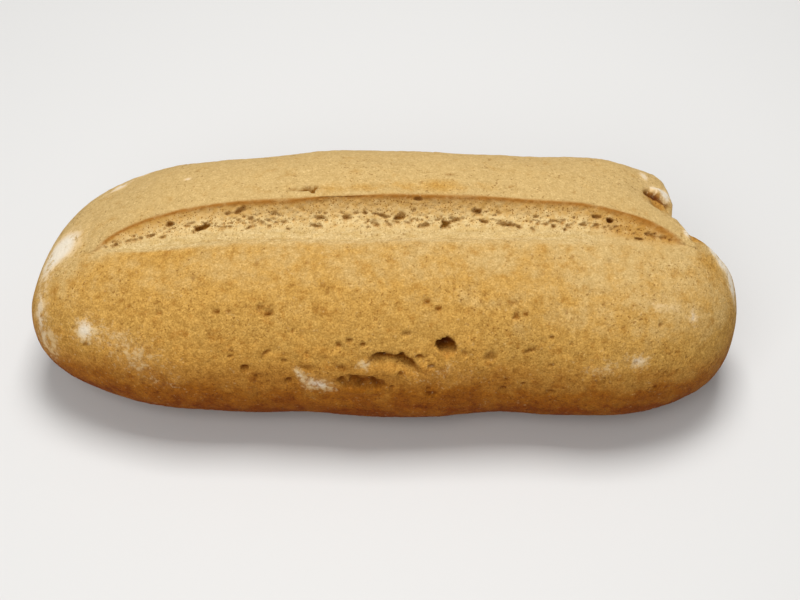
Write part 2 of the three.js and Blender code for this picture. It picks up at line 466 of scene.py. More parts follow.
@dataclass(frozen=True)
class Sheet:
    """The bare skin over the grid: its form, places along and round the loaf, sections, and Y and Z."""

    form: LoafForm
    x: Array
    angle: Array
    section: Section
    y: Array
    z: Array

    @classmethod
    def over(cls, form: LoafForm, x: Array, angle: Array) -> "Sheet":
        """The bare skin of a form over places along it and angles round it."""
        return cls(form, x, angle, *form.skin(x, angle))

    def points(self) -> Array:
        """The skin's points, with X, Y and Z in the last axis."""
        return np.stack([np.broadcast_to(self.x, self.y.shape), self.y, self.z], axis=-1)


@dataclass(frozen=True)
class Spot:
    """An oval place on the crust: where its middle is along and round the loaf, and its size."""

    along: float
    angle: float
    length: float
    width: float

    def local(self, sheet: Sheet, turn: float, droop: float = 0.0) -> tuple[Array, Array]:
        """Places along and across the spot, each from -1 at one rim to 1 at the other.

        Args:
            sheet: The bare skin.
            turn: The spot's turn from the loaf's length, in degrees.
            droop: How far the ends of a curved spot hang below its middle.

        Returns:
            The places along and across, turned with the spot and bent with its droop.
        """
        _, middle_y, middle_z = sheet.form.skin(np.array(self.along), np.array(self.angle))
        girth = np.hypot(sheet.y - middle_y, sheet.z - middle_z)
        across = np.sign(sheet.angle - self.angle) * girth
        cosine = np.cos(np.radians(turn))
        sine = np.sin(np.radians(turn))
        p = ((sheet.x - self.along) * cosine + across * sine) / (self.length / 2.0)
        q = across * cosine - (sheet.x - self.along) * sine + droop * p * p
        return p, q / (self.width / 2.0)


class MarkShape(Enum):
    """How a mark's depth falls from its middle to its rim."""

    PIT = "steep sides, deepest under its upper edge"
    DIMPLE = "a soft hollow"
    BAND = "steep sides and a flat, torn floor"
    LEDGE = "deep under its upper edge, fading out below"


# How dark a deep mark of each shape is, and the place across it below which light reaches its floor
DARKNESS = {MarkShape.PIT: 1.4, MarkShape.DIMPLE: 0.5, MarkShape.BAND: 1.3, MarkShape.LEDGE: 2.0}
LIT_BELOW = {MarkShape.PIT: -1.1, MarkShape.DIMPLE: -1.1, MarkShape.BAND: -2.5, MarkShape.LEDGE: -0.2}
SHADED_ABOVE = 0.7

# The depth at which a mark's painted shade is as dark as its shape allows, and where and over how much a deep
# one blackens
DARK_AT = 1.2
BLACKENS_FROM = 4.0
BLACKENS_OVER = 3.0

# The forms of the shapes: how steep their sides are, where they are deepest, and how far they are torn
PIT_STEEPNESS = 0.4
PIT_FLOOR = 0.5
PIT_DEEPEST = 0.5
BAND_SIDE = 0.35
BAND_FLOOR = 0.7
BAND_TEAR = 1.6
LEDGE_SIDE = 0.25
LEDGE_FLOOR = 0.9
LEDGE_TEAR = 0.9
LEDGE_FADE = -1.3
LEDGE_DEEPEST = 0.7
LEDGE_ENDS = 0.7


@dataclass(frozen=True)
class Mark(Spot):
    """A hollow in the crust, or a swelling where its depth is less than 0."""

    depth: float
    shape: MarkShape = MarkShape.PIT
    turn: float = 0.0
    droop: float = 0.0

    def press(self, sheet: Sheet, ragged: Array) -> tuple[Array, Array]:
        """The mark's depth, and how dark it is: most under its upper edge, where no light falls.

        Args:
            sheet: The bare skin.
            ragged: Noise that makes the rim uneven.

        Returns:
            Depths in millimetres, and painted shades from 0 to about 2.
        """
        p, q = self.local(sheet, self.turn, self.droop)
        share = self.profile(p, q, ragged)
        strength = DARKNESS[self.shape] * np.clip(self.depth / DARK_AT, 0.0, 1.0)
        strength = strength + np.clip((self.depth - BLACKENS_FROM) / BLACKENS_OVER, 0.0, 1.0)
        return self.depth * share, share * ease(q, LIT_BELOW[self.shape], SHADED_ABOVE) * strength

    def profile(self, p: Array, q: Array, ragged: Array) -> Array:
        """The depth as a share of its greatest, from the square of the distance to the mark's middle.

        A pit is a low power of what is left of 1 less that square, shallower towards its lower edge. A dimple
        is its second power. A band rises to its floor within its side. A ledge is steep at its upper edge,
        fades out below, and narrows to its ends.

        Args:
            p: Places along the mark.
            q: Places across it.
            ragged: Noise that makes the rim uneven.

        Returns:
            Shares from 0 to about 1.
        """
        inside = np.clip(1.0 - (p * p + q * q) * (1.0 + ragged), 0.0, 1.0)
        if self.shape is MarkShape.PIT:
            return inside**PIT_STEEPNESS * (PIT_FLOOR + (1.0 - PIT_FLOOR) * ease(q, -1.0, PIT_DEEPEST))
        if self.shape is MarkShape.DIMPLE:
            return inside**2
        if self.shape is MarkShape.BAND:
            return ease(inside, 0.0, BAND_SIDE) * (BAND_FLOOR + BAND_TEAR * ragged)
        slope = ease(1.0 - q + LEDGE_TEAR * ragged, 0.0, LEDGE_SIDE) * ease(q, LEDGE_FADE, LEDGE_DEEPEST)
        return np.clip(1.0 - p * p, 0.0, 1.0) ** LEDGE_ENDS * slope * (LEDGE_FLOOR + ragged)


@dataclass(frozen=True)
class Patch(Spot):
    """A soft patch of flour or of browning, with a strength, a turn and how fast it fades from its middle."""

    strength: float
    turn: float = 0.0
    fade: float = 1.2

    def cover(self, sheet: Sheet) -> Array:
        """How much the patch covers: its strength times exp(-fade d^2) at a distance d from its middle."""
        p, q = self.local(sheet, self.turn)
        return self.strength * np.exp(-self.fade * (p * p + q * q))


# How dark a bubble's painted shade gets, and at which depths: a shallow one dims, and a deep one blackens as
# well
PORE_DIM = 0.85
PORE_DIM_AT = 1.7
PORE_BLACK = 0.65
PORE_BLACK_FROM = 1.8
PORE_BLACK_OVER = 1.5
PORE_LIT_BELOW = -1.1
PORE_SHADED_ABOVE = 0.1


@dataclass(frozen=True)
class Pore:
    """An open bubble in the crumb: its place along the slash and up its wall, its size and its turn."""

    along: float
    rise: float
    length: float
    height: float
    depth: float
    turn: float = 0.0

    def open(self, x: Array, rise: Array, ragged: Array) -> tuple[Array, Array]:
        """The bubble's depth, half of an ellipsoid with an uneven rim, and the painted shade inside it.

        Args:
            x: Places along the loaf.
            rise: Distances up the wall from its foot.
            ragged: Noise that makes the rim uneven.

        Returns:
            Depths in millimetres, and painted shades from 0 to 1.5, darkest under the bubble's upper edge.
        """
        cosine = np.cos(np.radians(self.turn))
        sine = np.sin(np.radians(self.turn))
        p = ((x - self.along) * cosine + (rise - self.rise) * sine) / (self.length / 2.0)
        q = ((rise - self.rise) * cosine - (x - self.along) * sine) / (self.height / 2.0)
        share = np.sqrt(np.clip(1.0 - (p * p + q * q) * (1.0 + ragged), 0.0, 1.0))
        strength = min(self.depth / PORE_DIM_AT, PORE_DIM)
        strength = strength + np.clip((self.depth - PORE_BLACK_FROM) / PORE_BLACK_OVER, 0.0, PORE_BLACK)
        return self.depth * share, share * ease(q, PORE_LIT_BELOW, PORE_SHADED_ABOVE) * strength


# The marks that show, group by group
MARKS = (
    # Swellings at the right end
    Mark(100.0, 128.0, 44.0, 32.0, -1.0, MarkShape.DIMPLE),
    Mark(121.0, 97.0, 30.0, 20.0, -1.3, MarkShape.DIMPLE),
    Mark(113.0, 118.5, 8.0, 5.0, -1.3, MarkShape.DIMPLE),
    # The burst bubble, the ledge and the torn band low in front
    Mark(24.0, 30.6, 7.4, 7.4, 7.0),
    Mark(4.6, 23.4, 19.0, 6.4, 3.2, MarkShape.LEDGE, -16.0, 3.2),
    Mark(-8.2, 10.4, 20.0, 6.8, 2.6, MarkShape.BAND, -3.0),
    # The tear at the right end
    Mark(118.8, 96.6, 4.5, 5.0, 0.9, MarkShape.DIMPLE),
    Mark(110.5, 106.0, 10.0, 10.0, 2.0, MarkShape.DIMPLE),
    Mark(112.4, 112.6, 11.0, 9.0, 2.2, MarkShape.LEDGE),
    # Pits in the ledge
    Mark(-1.2, 26.4, 5.4, 2.8, 1.7, MarkShape.PIT, 12.0),
    Mark(8.8, 23.2, 8.0, 3.2, 2.0, MarkShape.PIT, -32.0),
    # The flake behind the lip: its cracks, then its raised edges
    Mark(-30.3, 99.8, 5.4, 2.4, 2.0, MarkShape.PIT, 12.0),
    Mark(-27.9, 99.5, 4.8, 2.4, 2.2, MarkShape.PIT, -55.0),
    Mark(-26.6, 100.3, 3.4, 1.5, 1.2, MarkShape.PIT, 40.0),
    Mark(-35.0, 99.9, 6.0, 1.5, 0.8),
    Mark(-24.0, 98.9, 6.4, 3.6, -1.0, MarkShape.BAND),
    Mark(-29.6, 101.7, 6.0, 2.2, -0.7, MarkShape.BAND),
    # Crust raised round the ledge and the band
    Mark(3.0, 17.0, 9.0, 5.0, -0.7, MarkShape.DIMPLE),
    Mark(-8.5, 4.6, 26.0, 4.6, -1.3, MarkShape.DIMPLE),
    # Dents and pits of the front
    Mark(-43.6, 48.9, 7.2, 4.2, 2.0, MarkShape.BAND, -28.0),
    Mark(39.9, 24.2, 6.4, 5.8, 2.2, MarkShape.DIMPLE),
    Mark(14.5, 25.0, 5.0, 2.8, 1.2, MarkShape.LEDGE),
    Mark(-51.7, 16.5, 3.6, 3.2, 1.6),
    Mark(-12.3, 34.0, 2.8, 1.9, 1.1),
    Mark(-7.3, 32.0, 2.6, 2.1, 1.3),
    Mark(-16.3, 31.0, 2.2, 2.6, 1.0),
    Mark(8.8, 38.0, 6.4, 2.8, 1.2, MarkShape.DIMPLE),
    Mark(18.1, 19.7, 2.8, 2.0, 1.1),
    Mark(6.5, 16.1, 2.6, 2.2, 1.2),
    Mark(18.2, 3.1, 4.2, 2.0, 1.2),
    Mark(45.3, 3.8, 3.8, 2.4, 1.4),
    Mark(53.0, 7.1, 2.4, 2.0, 1.1),
    Mark(63.3, 3.3, 3.8, 1.9, 1.2),
    Mark(3.3, 7.2, 2.6, 2.0, 1.0),
    Mark(49.4, 44.9, 3.0, 2.8, 1.6),
    Mark(52.8, 46.4, 2.2, 1.9, 1.0),
    Mark(48.3, 51.5, 5.5, 1.5, 0.8),
    Mark(54.7, 27.6, 5.8, 2.4, 0.8, MarkShape.PIT, 18.0),
    Mark(62.5, 35.3, 2.0, 1.8, 1.0),
    Mark(16.6, 53.4, 4.2, 2.1, 1.2, MarkShape.PIT, -30.0),
    Mark(20.8, 49.6, 3.2, 2.4, 1.2),
    Mark(-61.9, 48.5, 4.2, 2.0, 1.2, MarkShape.PIT, -20.0),
    Mark(-42.6, 46.4, 2.4, 1.8, 1.2),
    Mark(-43.4, 26.0, 4.6, 2.2, 0.9, MarkShape.PIT, 35.0),
    Mark(-56.4, 27.6, 1.6, 1.3, 0.8),
    Mark(-57.0, 24.1, 2.2, 1.6, 0.9),
    Mark(-27.8, 18.0, 7.4, 3.6, 1.3, MarkShape.DIMPLE, -8.0),
    Mark(-46.5, 12.1, 6.2, 3.0, 1.3, MarkShape.DIMPLE),
    Mark(-15.3, 19.3, 4.4, 3.4, 1.4, MarkShape.DIMPLE),
    Mark(-35.3, 10.0, 2.8, 2.6, 1.3),
    Mark(-36.6, 22.0, 2.4, 1.8, 0.8),
    # A crease behind the lip
    Mark(26.0, 107.3, 5.0, 1.8, 0.6, MarkShape.PIT, 10.0),
)

# The larger bubbles of the crumb, from the left end of the slash to its right end
LARGE_PORES = (
    Pore(-103.5, 0.2, 2.0, 1.9, 1.8),
    Pore(-89.2, 1.4, 3.4, 1.4, 1.4, 22.0),
    Pore(-84.7, -0.2, 2.6, 1.3, 1.2, 25.0),
    Pore(-82.8, 5.0, 2.9, 2.3, 2.2),
    Pore(-75.3, 3.2, 2.4, 1.3, 1.2),
    Pore(-69.8, 1.9, 8.4, 2.4, 2.8, 14.0),
    Pore(-60.2, 6.8, 2.2, 1.3, 1.2),
    Pore(-61.2, 1.0, 3.6, 2.2, 1.0),
    Pore(-55.5, 7.4, 4.6, 1.8, 1.7, 25.0),
    Pore(-51.2, 0.5, 4.8, 1.4, 1.3, 18.0),
    Pore(-25.8, 0.8, 4.2, 1.9, 1.5),
    Pore(-23.8, 3.9, 3.8, 1.9, 1.7),
    Pore(-14.3, 3.9, 3.0, 1.9, 1.6),
    Pore(-6.7, 5.6, 1.8, 1.5, 1.5),
    Pore(-0.7, 4.8, 6.4, 1.6, 1.6, -20.0),
    Pore(6.0, 3.8, 3.6, 2.1, 2.2),
    Pore(13.6, 11.1, 2.8, 1.5, 1.2),
    Pore(16.0, 0.5, 5.0, 2.0, 1.4, 15.0),
    Pore(23.7, 1.2, 3.2, 3.8, 2.5, 20.0),
    Pore(28.0, 2.8, 2.6, 2.0, 1.5),
    Pore(36.4, 6.5, 3.2, 2.0, 2.2),
    Pore(38.8, 2.2, 4.6, 1.6, 1.6, -10.0),
    Pore(47.8, 0.9, 7.2, 1.7, 1.9),
    Pore(51.9, 0.1, 3.0, 1.5, 1.5, -30.0),
    Pore(57.4, -1.0, 2.6, 2.0, 1.2, -40.0),
    Pore(65.5, 0.6, 2.5, 1.9, 2.0),
    Pore(69.6, -0.7, 1.5, 1.6, 1.5),
    Pore(77.1, 2.0, 2.9, 1.8, 1.6),
    Pore(82.1, 5.6, 2.8, 1.6, 1.6),
    Pore(87.4, 4.9, 3.4, 2.5, 2.6),
    Pore(98.7, -1.4, 2.8, 1.2, 1.4),
    Pore(101.3, 1.0, 2.4, 1.3, 1.3, -30.0),
)

# Flour left on the crust, mostly at the two ends
DUSTINGS = (
    Patch(-127.5, 100.5, 25.0, 20.0, 1.5, 42.0),
    Patch(-113.0, 35.0, 9.5, 10.0, 0.95),
    Patch(-112.0, 46.0, 5.0, 6.0, 0.3),
    Patch(-95.0, 24.5, 42.0, 17.0, 0.55, -37.0),
    Patch(-132.5, 45.0, 8.0, 44.0, 0.85),
    Patch(-127.0, 18.0, 8.0, 22.0, 0.5),
    Patch(-109.0, 133.0, 16.0, 9.0, 1.1, 30.0),
    Patch(-98.0, 142.0, 15.0, 6.0, 0.9, 10.0),
    Patch(-92.0, 151.0, 12.0, 5.0, 0.6, 40.0),
    Patch(-97.5, 119.0, 15.0, 9.0, 0.32),
    Patch(-78.0, 114.6, 4.6, 3.4, 0.95),
    Patch(106.3, 126.5, 5.5, 13.0, 1.0, 23.0),
    Patch(113.2, 119.8, 11.0, 6.0, 1.1, 8.0),
    Patch(117.2, 96.6, 5.0, 6.5, 1.3),
    Patch(126.0, 104.0, 12.0, 8.0, 0.8, -20.0),
    Patch(132.0, 98.0, 12.0, 10.0, 0.8, -20.0),
    Patch(136.0, 76.0, 6.0, 22.0, 0.8),
    Patch(134.6, 81.0, 5.0, 12.0, 0.9),
    Patch(131.0, 89.5, 5.0, 6.0, 0.8),
    Patch(127.5, 95.0, 6.0, 4.0, 0.7),
    Patch(116.0, 124.0, 5.0, 8.0, 1.0),
    Patch(106.0, 53.6, 32.0, 6.0, 0.55, -2.0),
    Patch(116.3, 46.7, 4.5, 9.0, 0.85),
    Patch(95.4, 24.5, 9.0, 7.0, 0.85),
    Patch(84.0, 20.0, 22.0, 9.0, 0.4, 12.0),
    Patch(-24.5, 8.5, 12.5, 7.0, 1.15, -14.0),
    Patch(-31.5, 14.5, 7.0, 3.0, 0.8, -60.0),
    Patch(-6.5, 22.0, 7.0, 5.0, 0.75, 15.0),
    Patch(24.0, 15.0, 28.0, 13.0, 0.25),
    Patch(-24.0, 98.9, 6.0, 3.6, 0.35),
    Patch(-29.5, 101.9, 6.0, 2.4, 0.45),
    Patch(78.0, 133.0, 12.0, 5.0, 0.4),
)

# Where the crust baked to a warmer amber
BLUSHES = (
    Patch(-86.0, 79.5, 74.0, 7.0, 0.35),
    Patch(-85.0, 50.0, 90.0, 60.0, 0.15),
    Patch(8.0, 100.5, 80.0, 8.0, 0.6),
    Patch(126.0, 84.0, 12.0, 12.0, 0.8),
    Patch(113.0, 110.0, 12.0, 13.0, 1.6),
    Patch(24.5, 27.5, 17.0, 15.0, 0.5),
    Patch(121.0, 100.0, 8.0, 5.0, 1.2),
)

# Patches that the oven browned more than their surroundings
SCORCHES = (
    Patch(112.6, 111.0, 10.0, 12.0, 0.6),
    Patch(113.2, 115.2, 9.0, 4.0, 0.6),
    Patch(121.0, 100.0, 7.0, 4.0, 0.4),
)


@dataclass(frozen=True)
class Pinpricks:
    """Small pits strewn over the crust by seeded draws, more of them in front of the slash than behind."""

    seed: int = 21
    front: int = 130
    back: int = 50
    front_angles: tuple[float, float] = (0.0, 76.0)
    back_angles: tuple[float, float] = (100.0, 185.0)
    reach: float = 122.0
    smallest: float = 0.9
    growth: float = 1.0
    stretch: tuple[float, float] = (0.9, 1.8)
    depth_share: float = 0.4
    turn_spread: float = 35.0

    def marks(self) -> list[Mark]:
        """The pits, most of them small: the square of a draw sets how much a pit grows.

        Returns:
            The pits in the order of their draws.
        """
        draw = np.random.default_rng(self.seed)
        front = draw.uniform(*self.front_angles, self.front)
        back = draw.uniform(*self.back_angles, self.back)
        pits = []
        for angle in np.concatenate([front, back]):
            size = self.smallest + self.growth * draw.random() ** 2
            along = draw.uniform(-self.reach, self.reach)
            length = size * draw.uniform(*self.stretch)
            turn = draw.normal(0.0, self.turn_spread)
            pits.append(Mark(along, float(angle), length, size, self.depth_share * size, turn=turn))
        return pits


@dataclass(frozen=True)
class Crumb:
    """The open crumb of the slash's wall: its bubbles, and the roughness of the torn bread between them.

    A rise is a middle and a spread at the wall's foot, and a lowest and a highest place up the wall.
    """

    seed: int = 7
    clusters: int = 26
    foot_pores: int = 280
    wall_pores: int = 460
    end_margin: float = 6.0
    cluster_spread: float = 2.8
    foot_rise: tuple[float, float] = (2.2, 1.2)
    wall_rise: tuple[float, float] = (1.0, 7.2)
    smallest: float = 0.5
    foot_growth: float = 1.3
    wall_growth: float = 0.9
    stretch: tuple[float, float] = (0.8, 1.6)
    depth_share: float = 0.75
    turn_spread: float = 20.0
    inward: tuple[float, float, float] = (0.0, 0.62, -0.78)
    widest_rim: float = -0.6
    rims: tuple[Grain, ...] = (Grain(11, 1.5), Grain(12, 0.8, 0.7))
    tears: tuple[Grain, ...] = (Grain(8, 1.5, 0.3), Grain(9, 0.8, 0.18))

    def small_pores(self, form: LoafForm) -> list[Pore]:
        """The small bubbles: clusters along the wall's foot, and finer ones up the wall, by seeded draws.

        Args:
            form: The loaf's form.

        Returns:
            The bubbles in the order of their draws.
        """
        draw = np.random.default_rng(self.seed)
        reach = form.slash_tip - self.end_margin
        middles = draw.uniform(-reach, reach, self.clusters)
        pores = []
        for number in range(self.foot_pores + self.wall_pores):
            at_foot = number < self.foot_pores
            near = draw.normal(middles[number % self.clusters], self.cluster_spread)
            along = form.slash_middle + (near if at_foot else draw.uniform(-reach, reach))
            rise = draw.normal(*self.foot_rise) if at_foot else draw.uniform(*self.wall_rise)
            growth = self.foot_growth if at_foot else self.wall_growth
            size = self.smallest + growth * draw.random() ** 3
            length = size * draw.uniform(*self.stretch)
            turn = draw.normal(0.0, self.turn_spread)
            tall = float(form.opening(np.array(along)))
            pores.append(Pore(along, rise * tall, length, size, self.depth_share * size, turn))
        return pores

    def open(self, sheet: Sheet, rise: Array) -> tuple[Array, Array]:
        """The deepest bubble at each point, with rims made uneven by noise.

        Args:
            sheet: The bare skin.
            rise: Distances up the wall from its foot.

        Returns:
            Depths in millimetres, and painted shades from 0 to 1.5.
        """
        ragged = np.maximum(grain_sum(self.rims, sheet.points()), self.widest_rim)
        depth = np.zeros(rise.shape)
        shade = np.zeros(rise.shape)
        for pore in (*LARGE_PORES, *self.small_pores(sheet.form)):
            pore_depth, pore_shade = pore.open(sheet.x, rise, ragged)
            depth = np.maximum(depth, pore_depth)
            shade = np.maximum(shade, pore_shade)
        return depth, shade


@dataclass(frozen=True)
class SlashBake:
    """How the slash baked, as masks: its pale bloom, its crumb, the crumb's browner top and its lip.

    Pairs and threes are places along the loaf between which something comes or goes. Distances to the slash's
    own angles are degrees, and the rest are shares.
    """

    opens: tuple[float, float] = (0.08, 0.2)
    flap: tuple[float, float, float] = (76.0, 105.0, 119.0)
    soft_end: tuple[float, float] = (-70.0, -105.0)
    right_end: tuple[float, float] = (72.0, 96.0)
    blurs: tuple[float, float] = (-90.0, -40.0)
    least_blur: float = 1.5
    added_blur: float = 3.5
    inside_below: float = 0.5
    inside_above: float = 0.3
    bloom_lead: float = 1.0
    bloom_loss: float = 0.8
    crumb_below: float = 2.0
    crumb_above: float = 1.6
    crumb_shift: float = 1.2
    scorch_above: float = 0.8
    scorch_below: float = 0.3
    top_scorch: float = 0.85
    flap_scorch: float = 0.4
    soft_scorch: float = 0.3
    right_scorch: float = 0.85
    lip_below: float = 1.1
    lip_darkest: float = 0.2
    lip_above: float = 1.0
    flap_lip: float = 2.2
    soft_lip: float = 0.3

    def masks(self, sheet: Sheet) -> dict[str, Array]:
        """The masks: smooth steps between the slash's angles, shifted and blurred towards its ends.

        Args:
            sheet: The bare skin.

        Returns:
            Masks from 0 to 1 by name.
        """
        form = sheet.form
        angle = sheet.angle
        front = form.slash_angle(sheet.x, form.slash_front)
        foot = form.slash_angle(sheet.x, form.wall_foot)
        lip = form.lip_angle(sheet.x)
        is_open = ease(sheet.section.opening, *self.opens)
        inside = (1.0 - ease(angle, lip - self.inside_below, lip + self.inside_above)) * is_open
        flap = hump(sheet.x, *self.flap)
        soft = ease(sheet.x, *self.soft_end)
        right = ease(sheet.x, *self.right_end)

        blur = self.least_blur + self.added_blur * ease(sheet.x, *self.blurs)
        bloom = ease(angle, front - blur, front + self.bloom_lead + blur) * (1.0 - self.bloom_loss * right)
        shifted = foot - self.crumb_shift * right
        crumb = ease(angle, shifted - self.crumb_below, shifted + self.crumb_above)
        scorch = self.top_scorch * ease(angle, foot + self.scorch_above, lip - self.scorch_below)
        scorch = scorch + self.flap_scorch * flap + self.soft_scorch * soft + self.right_scorch * right
        lip_start = lip - self.lip_below - self.flap_lip * flap
        lip_end = lip + self.lip_above + self.soft_lip * soft
        return {
            "bloom": bloom * inside,
            "crumb": crumb * inside,
            "scorch": np.clip(scorch, 0.0, 1.0) * inside,
            "lip": hump(angle, lip_start, lip - self.lip_darkest, lip_end) * is_open,
        }


@dataclass(frozen=True)
class Oven:
    """How the oven browned the crust: warmer in front and in patches, dark low all round, partly as painted
    shade.

    Levels are angles round the loaf. Towards the ends, heights take their place: a level of 0 is at the end
    height, and each degree is an end step.
    """

    ends: tuple[float, float] = (94.0, 134.0)
    end_spread: float = 40.0
    end_height: float = 24.8
    end_step: float = 0.6
    amber: float = 0.55
    amber_from: float = 92.0
    amber_to: float = 80.0
    golden: float = 0.45
    golden_from: float = 75.0
    honey_from: float = 45.0
    honey_to: float = 12.0
    pallor: float = 0.4
    pale: tuple[float, float] = (10.0, 100.0)
    back_angle: float = 180.0
    # Levels where the darkening at the base starts, reaches one tint and reaches two: browning and painted
    # shade in one
    toasted: float = 22.0
    browned: float = 2.0
    darkened: float = -14.0

    def masks(self, sheet: Sheet) -> dict[str, Array]:
        """Browning and painted shade: smooth steps down the front, two straight ramps towards the base, and
        the patches.

        Args:
            sheet: The bare skin.

        Returns:
            The warm blush from 0 to 2 low in front, and browning with painted shade from 0 to 2 at the base.
        """
        end = ease(np.abs(sheet.x), *self.ends)
        spread = self.end_spread * end
        warm = self.amber * ease(sheet.angle, self.amber_from + spread, self.amber_to - spread)
        warm = warm + self.golden * ease(sheet.angle, self.golden_from + spread, self.honey_from - spread)
        warm = warm * (1.0 - self.pallor * ease(sheet.x, *self.pale))
        level = np.minimum(sheet.angle, self.back_angle - sheet.angle)
        level = level + end * ((sheet.z - self.end_height) / self.end_step - level)
        warm = warm + ease(level, self.honey_from, self.honey_to)
        bake_and_shade = np.clip((self.toasted - level) / (self.toasted - self.browned), 0.0, 1.0)
        bake_and_shade = bake_and_shade + np.clip((self.browned - level) / (self.browned - self.darkened), 0.0, 1.0)
        return {
            "blush": warm + sum(patch.cover(sheet) for patch in BLUSHES),
            "bake_and_shade": bake_and_shade + sum(patch.cover(sheet) for patch in SCORCHES),
        }


@dataclass(frozen=True)
class CrustRelief:
    """How far the crust stands out from the bare skin: its grain, its blisters, its marks and its pits."""

    swells: Grain = Grain(4, 7.0, 0.14)
    grit: tuple[Grain, ...] = (Grain(3, 2.4, 0.12), Grain(2, 1.2, 0.072))
    blisters: tuple[Grain, ...] = (Grain(13, 4.2, 0.6), Grain(14, 2.2, 0.36))
    blistered_along: tuple[float, float, float] = (-80.0, -5.0, 75.0)
    blistered_round: tuple[float, float, float] = (-4.0, 18.0, 46.0)
    rims: tuple[Grain, ...] = (Grain(5, 2.6, 0.3), Grain(6, 1.2, 0.25))
    pinpricks: Pinpricks = Pinpricks()

    def over(self, sheet: Sheet, crust: Array) -> tuple[Array, Array]:
        """The heights of the lumps and the grain, less the depths of the marks and the pinpricks.

        Args:
            sheet: The bare skin.
            crust: Mask of the crust, 0 in the slash.

        Returns:
            Heights in millimetres, and the marks' painted shades from 0 to about 2.
        """
        points = sheet.points()
        grain = self.swells.at(points) + crust * grain_sum(self.grit, points)
        blistered = hump(sheet.x, *self.blistered_along) * hump(sheet.angle, *self.blistered_round)
        grain = grain + blistered * grain_sum(self.blisters, points)
        full = sheet.section.full
        outward = sheet.form.lump_height(sheet.x, sheet.angle, full) + full * grain
        ragged = grain_sum(self.rims, points)
        hollow = np.zeros(outward.shape)
        for mark in (*MARKS, *self.pinpricks.marks()):
            depth, shade = mark.press(sheet, ragged)
            outward = outward - depth
            hollow = np.maximum(hollow, shade)
        return outward, hollow


@dataclass(frozen=True)
class LoafSkin:
    """The finished skin of the loaf on its grid, with the masks that its finish reads."""

    form: LoafForm
    slash: SlashBake = SlashBake()
    oven: Oven = Oven()
    relief: CrustRelief = CrustRelief()
    crumb: Crumb = Crumb()
    pored: tuple[float, float] = (0.15, 0.6)
    columns: int = 590
    crowding: float = 12.0
    first_angle: float = -90.0
    stretches: tuple[Stretch, ...] = (
        Stretch(-62.0, 4, 0.04),
        Stretch(0.0, 10, 0.10),
        Stretch(8.0, 5, 0.03),
        Stretch(45.0, 36, 0.14),
        Stretch(81.0, 20, 0.15),
        Stretch(88.5, 9, 0.07),
        Stretch(96.0, 40, 0.18),
        Stretch(101.0, 9, 0.05),
        Stretch(122.0, 16, 0.07),
        Stretch(135.0, 5, 0.04),
        Stretch(180.0, 7, 0.07),
        Stretch(242.0, 5, 0.07),
        Stretch(270.0, 3, 0.04),
    )

    def row_angles(self) -> Array:
        """The angles of the rows, spaced evenly in each stretch.

        Returns:
            The angles, the base's middle being both the first and the last.
        """
        angles = [np.array([self.first_angle])]
        for stretch in self.stretches:
            angles.append(np.linspace(angles[-1][-1], stretch.to, stretch.rows + 1)[1:])
        return np.concatenate(angles)

    def row_shares(self) -> Array:
        """The rows' places in the UV map, spaced evenly in each stretch's share.

        Returns:
            The places from 0 to 1.
        """
        shares = [np.array([0.0])]
        for stretch in self.stretches:
            start = shares[-1][-1]
            shares.append(np.linspace(start, start + stretch.share, stretch.rows + 1)[1:])
        joined = np.concatenate(shares)
        return joined / joined[-1]

    def column_places(self) -> Array:
        """The columns' places along the loaf, from tip to tip and closer together at the tips."""
        share = np.linspace(-1.0, 1.0, self.columns + 1)
        return self.form.length / 2.0 * share * (1.0 + (1.0 - share**self.crowding) / self.crowding)

    def rise_from_foot(self, sheet: Sheet) -> Array:
        """Distances along each section from the wall's foot, more than 0 up the wall.

        Args:
            sheet: The bare skin.

        Returns:
            The summed lengths of the steps between rows.
        """
        steps = np.hypot(np.diff(sheet.y, axis=0), np.diff(sheet.z, axis=0))
        girth = np.concatenate([np.zeros((1, sheet.y.shape[1])), np.cumsum(steps, axis=0)])
        foot = int(np.argmin(np.abs(sheet.angle[:, 0] - self.form.wall_foot)))
        return girth - girth[foot]

    @staticmethod
    def normals(points: Array) -> Array:
        """Directions that point out of a grid: the cross product of its steps along and round the loaf.

        Args:
            points: The grid's points, rows by columns by X, Y and Z.

        Returns:
            Directions of length 1, and of length 0 at the tips.
        """
        normal = np.cross(np.gradient(points, axis=1), np.gradient(points, axis=0))
        return normal / np.maximum(np.linalg.norm(normal, axis=-1, keepdims=True), LEAST_LENGTH)

    def build(self) -> tuple[Array, dict[str, Array]]:
        """The crust's points: the bare skin moved out by its relief, and in by the crumb's bubbles.

        Returns:
            The points, rows by columns by X, Y and Z in millimetres, and the masks by name.
        """
        sheet = Sheet.over(self.form, self.column_places()[None, :], self.row_angles()[:, None])
        masks = self.slash.masks(sheet)
        slashed = np.maximum(masks["crumb"], masks["bloom"])
        # Painted shade in the crust's marks, darkest under their upper edges, goes into the hollow mask
        outward, masks["hollow"] = self.relief.over(sheet, 1.0 - slashed)
        depth, shade = self.crumb.open(sheet, self.rise_from_foot(sheet))
        inner = ease(slashed, *self.pored)
        inward = depth * inner + grain_sum(self.crumb.tears, sheet.points()) * slashed
        # Painted shade in the crumb's bubbles goes into the pore mask
        masks["pore"] = shade * inner
        masks["flour"] = sum(patch.cover(sheet) for patch in DUSTINGS)
        masks.update(self.oven.masks(sheet))

        points = sheet.points()
        points[..., 0] -= self.form.end_lean(sheet.x, sheet.angle) + self.form.cleft_depth(points)
        points = points + outward[..., None] * self.normals(points) + inward[..., None] * self.crumb.inward
        points[..., 2] = np.maximum(points[..., 2], 0.0)
        return points, masks


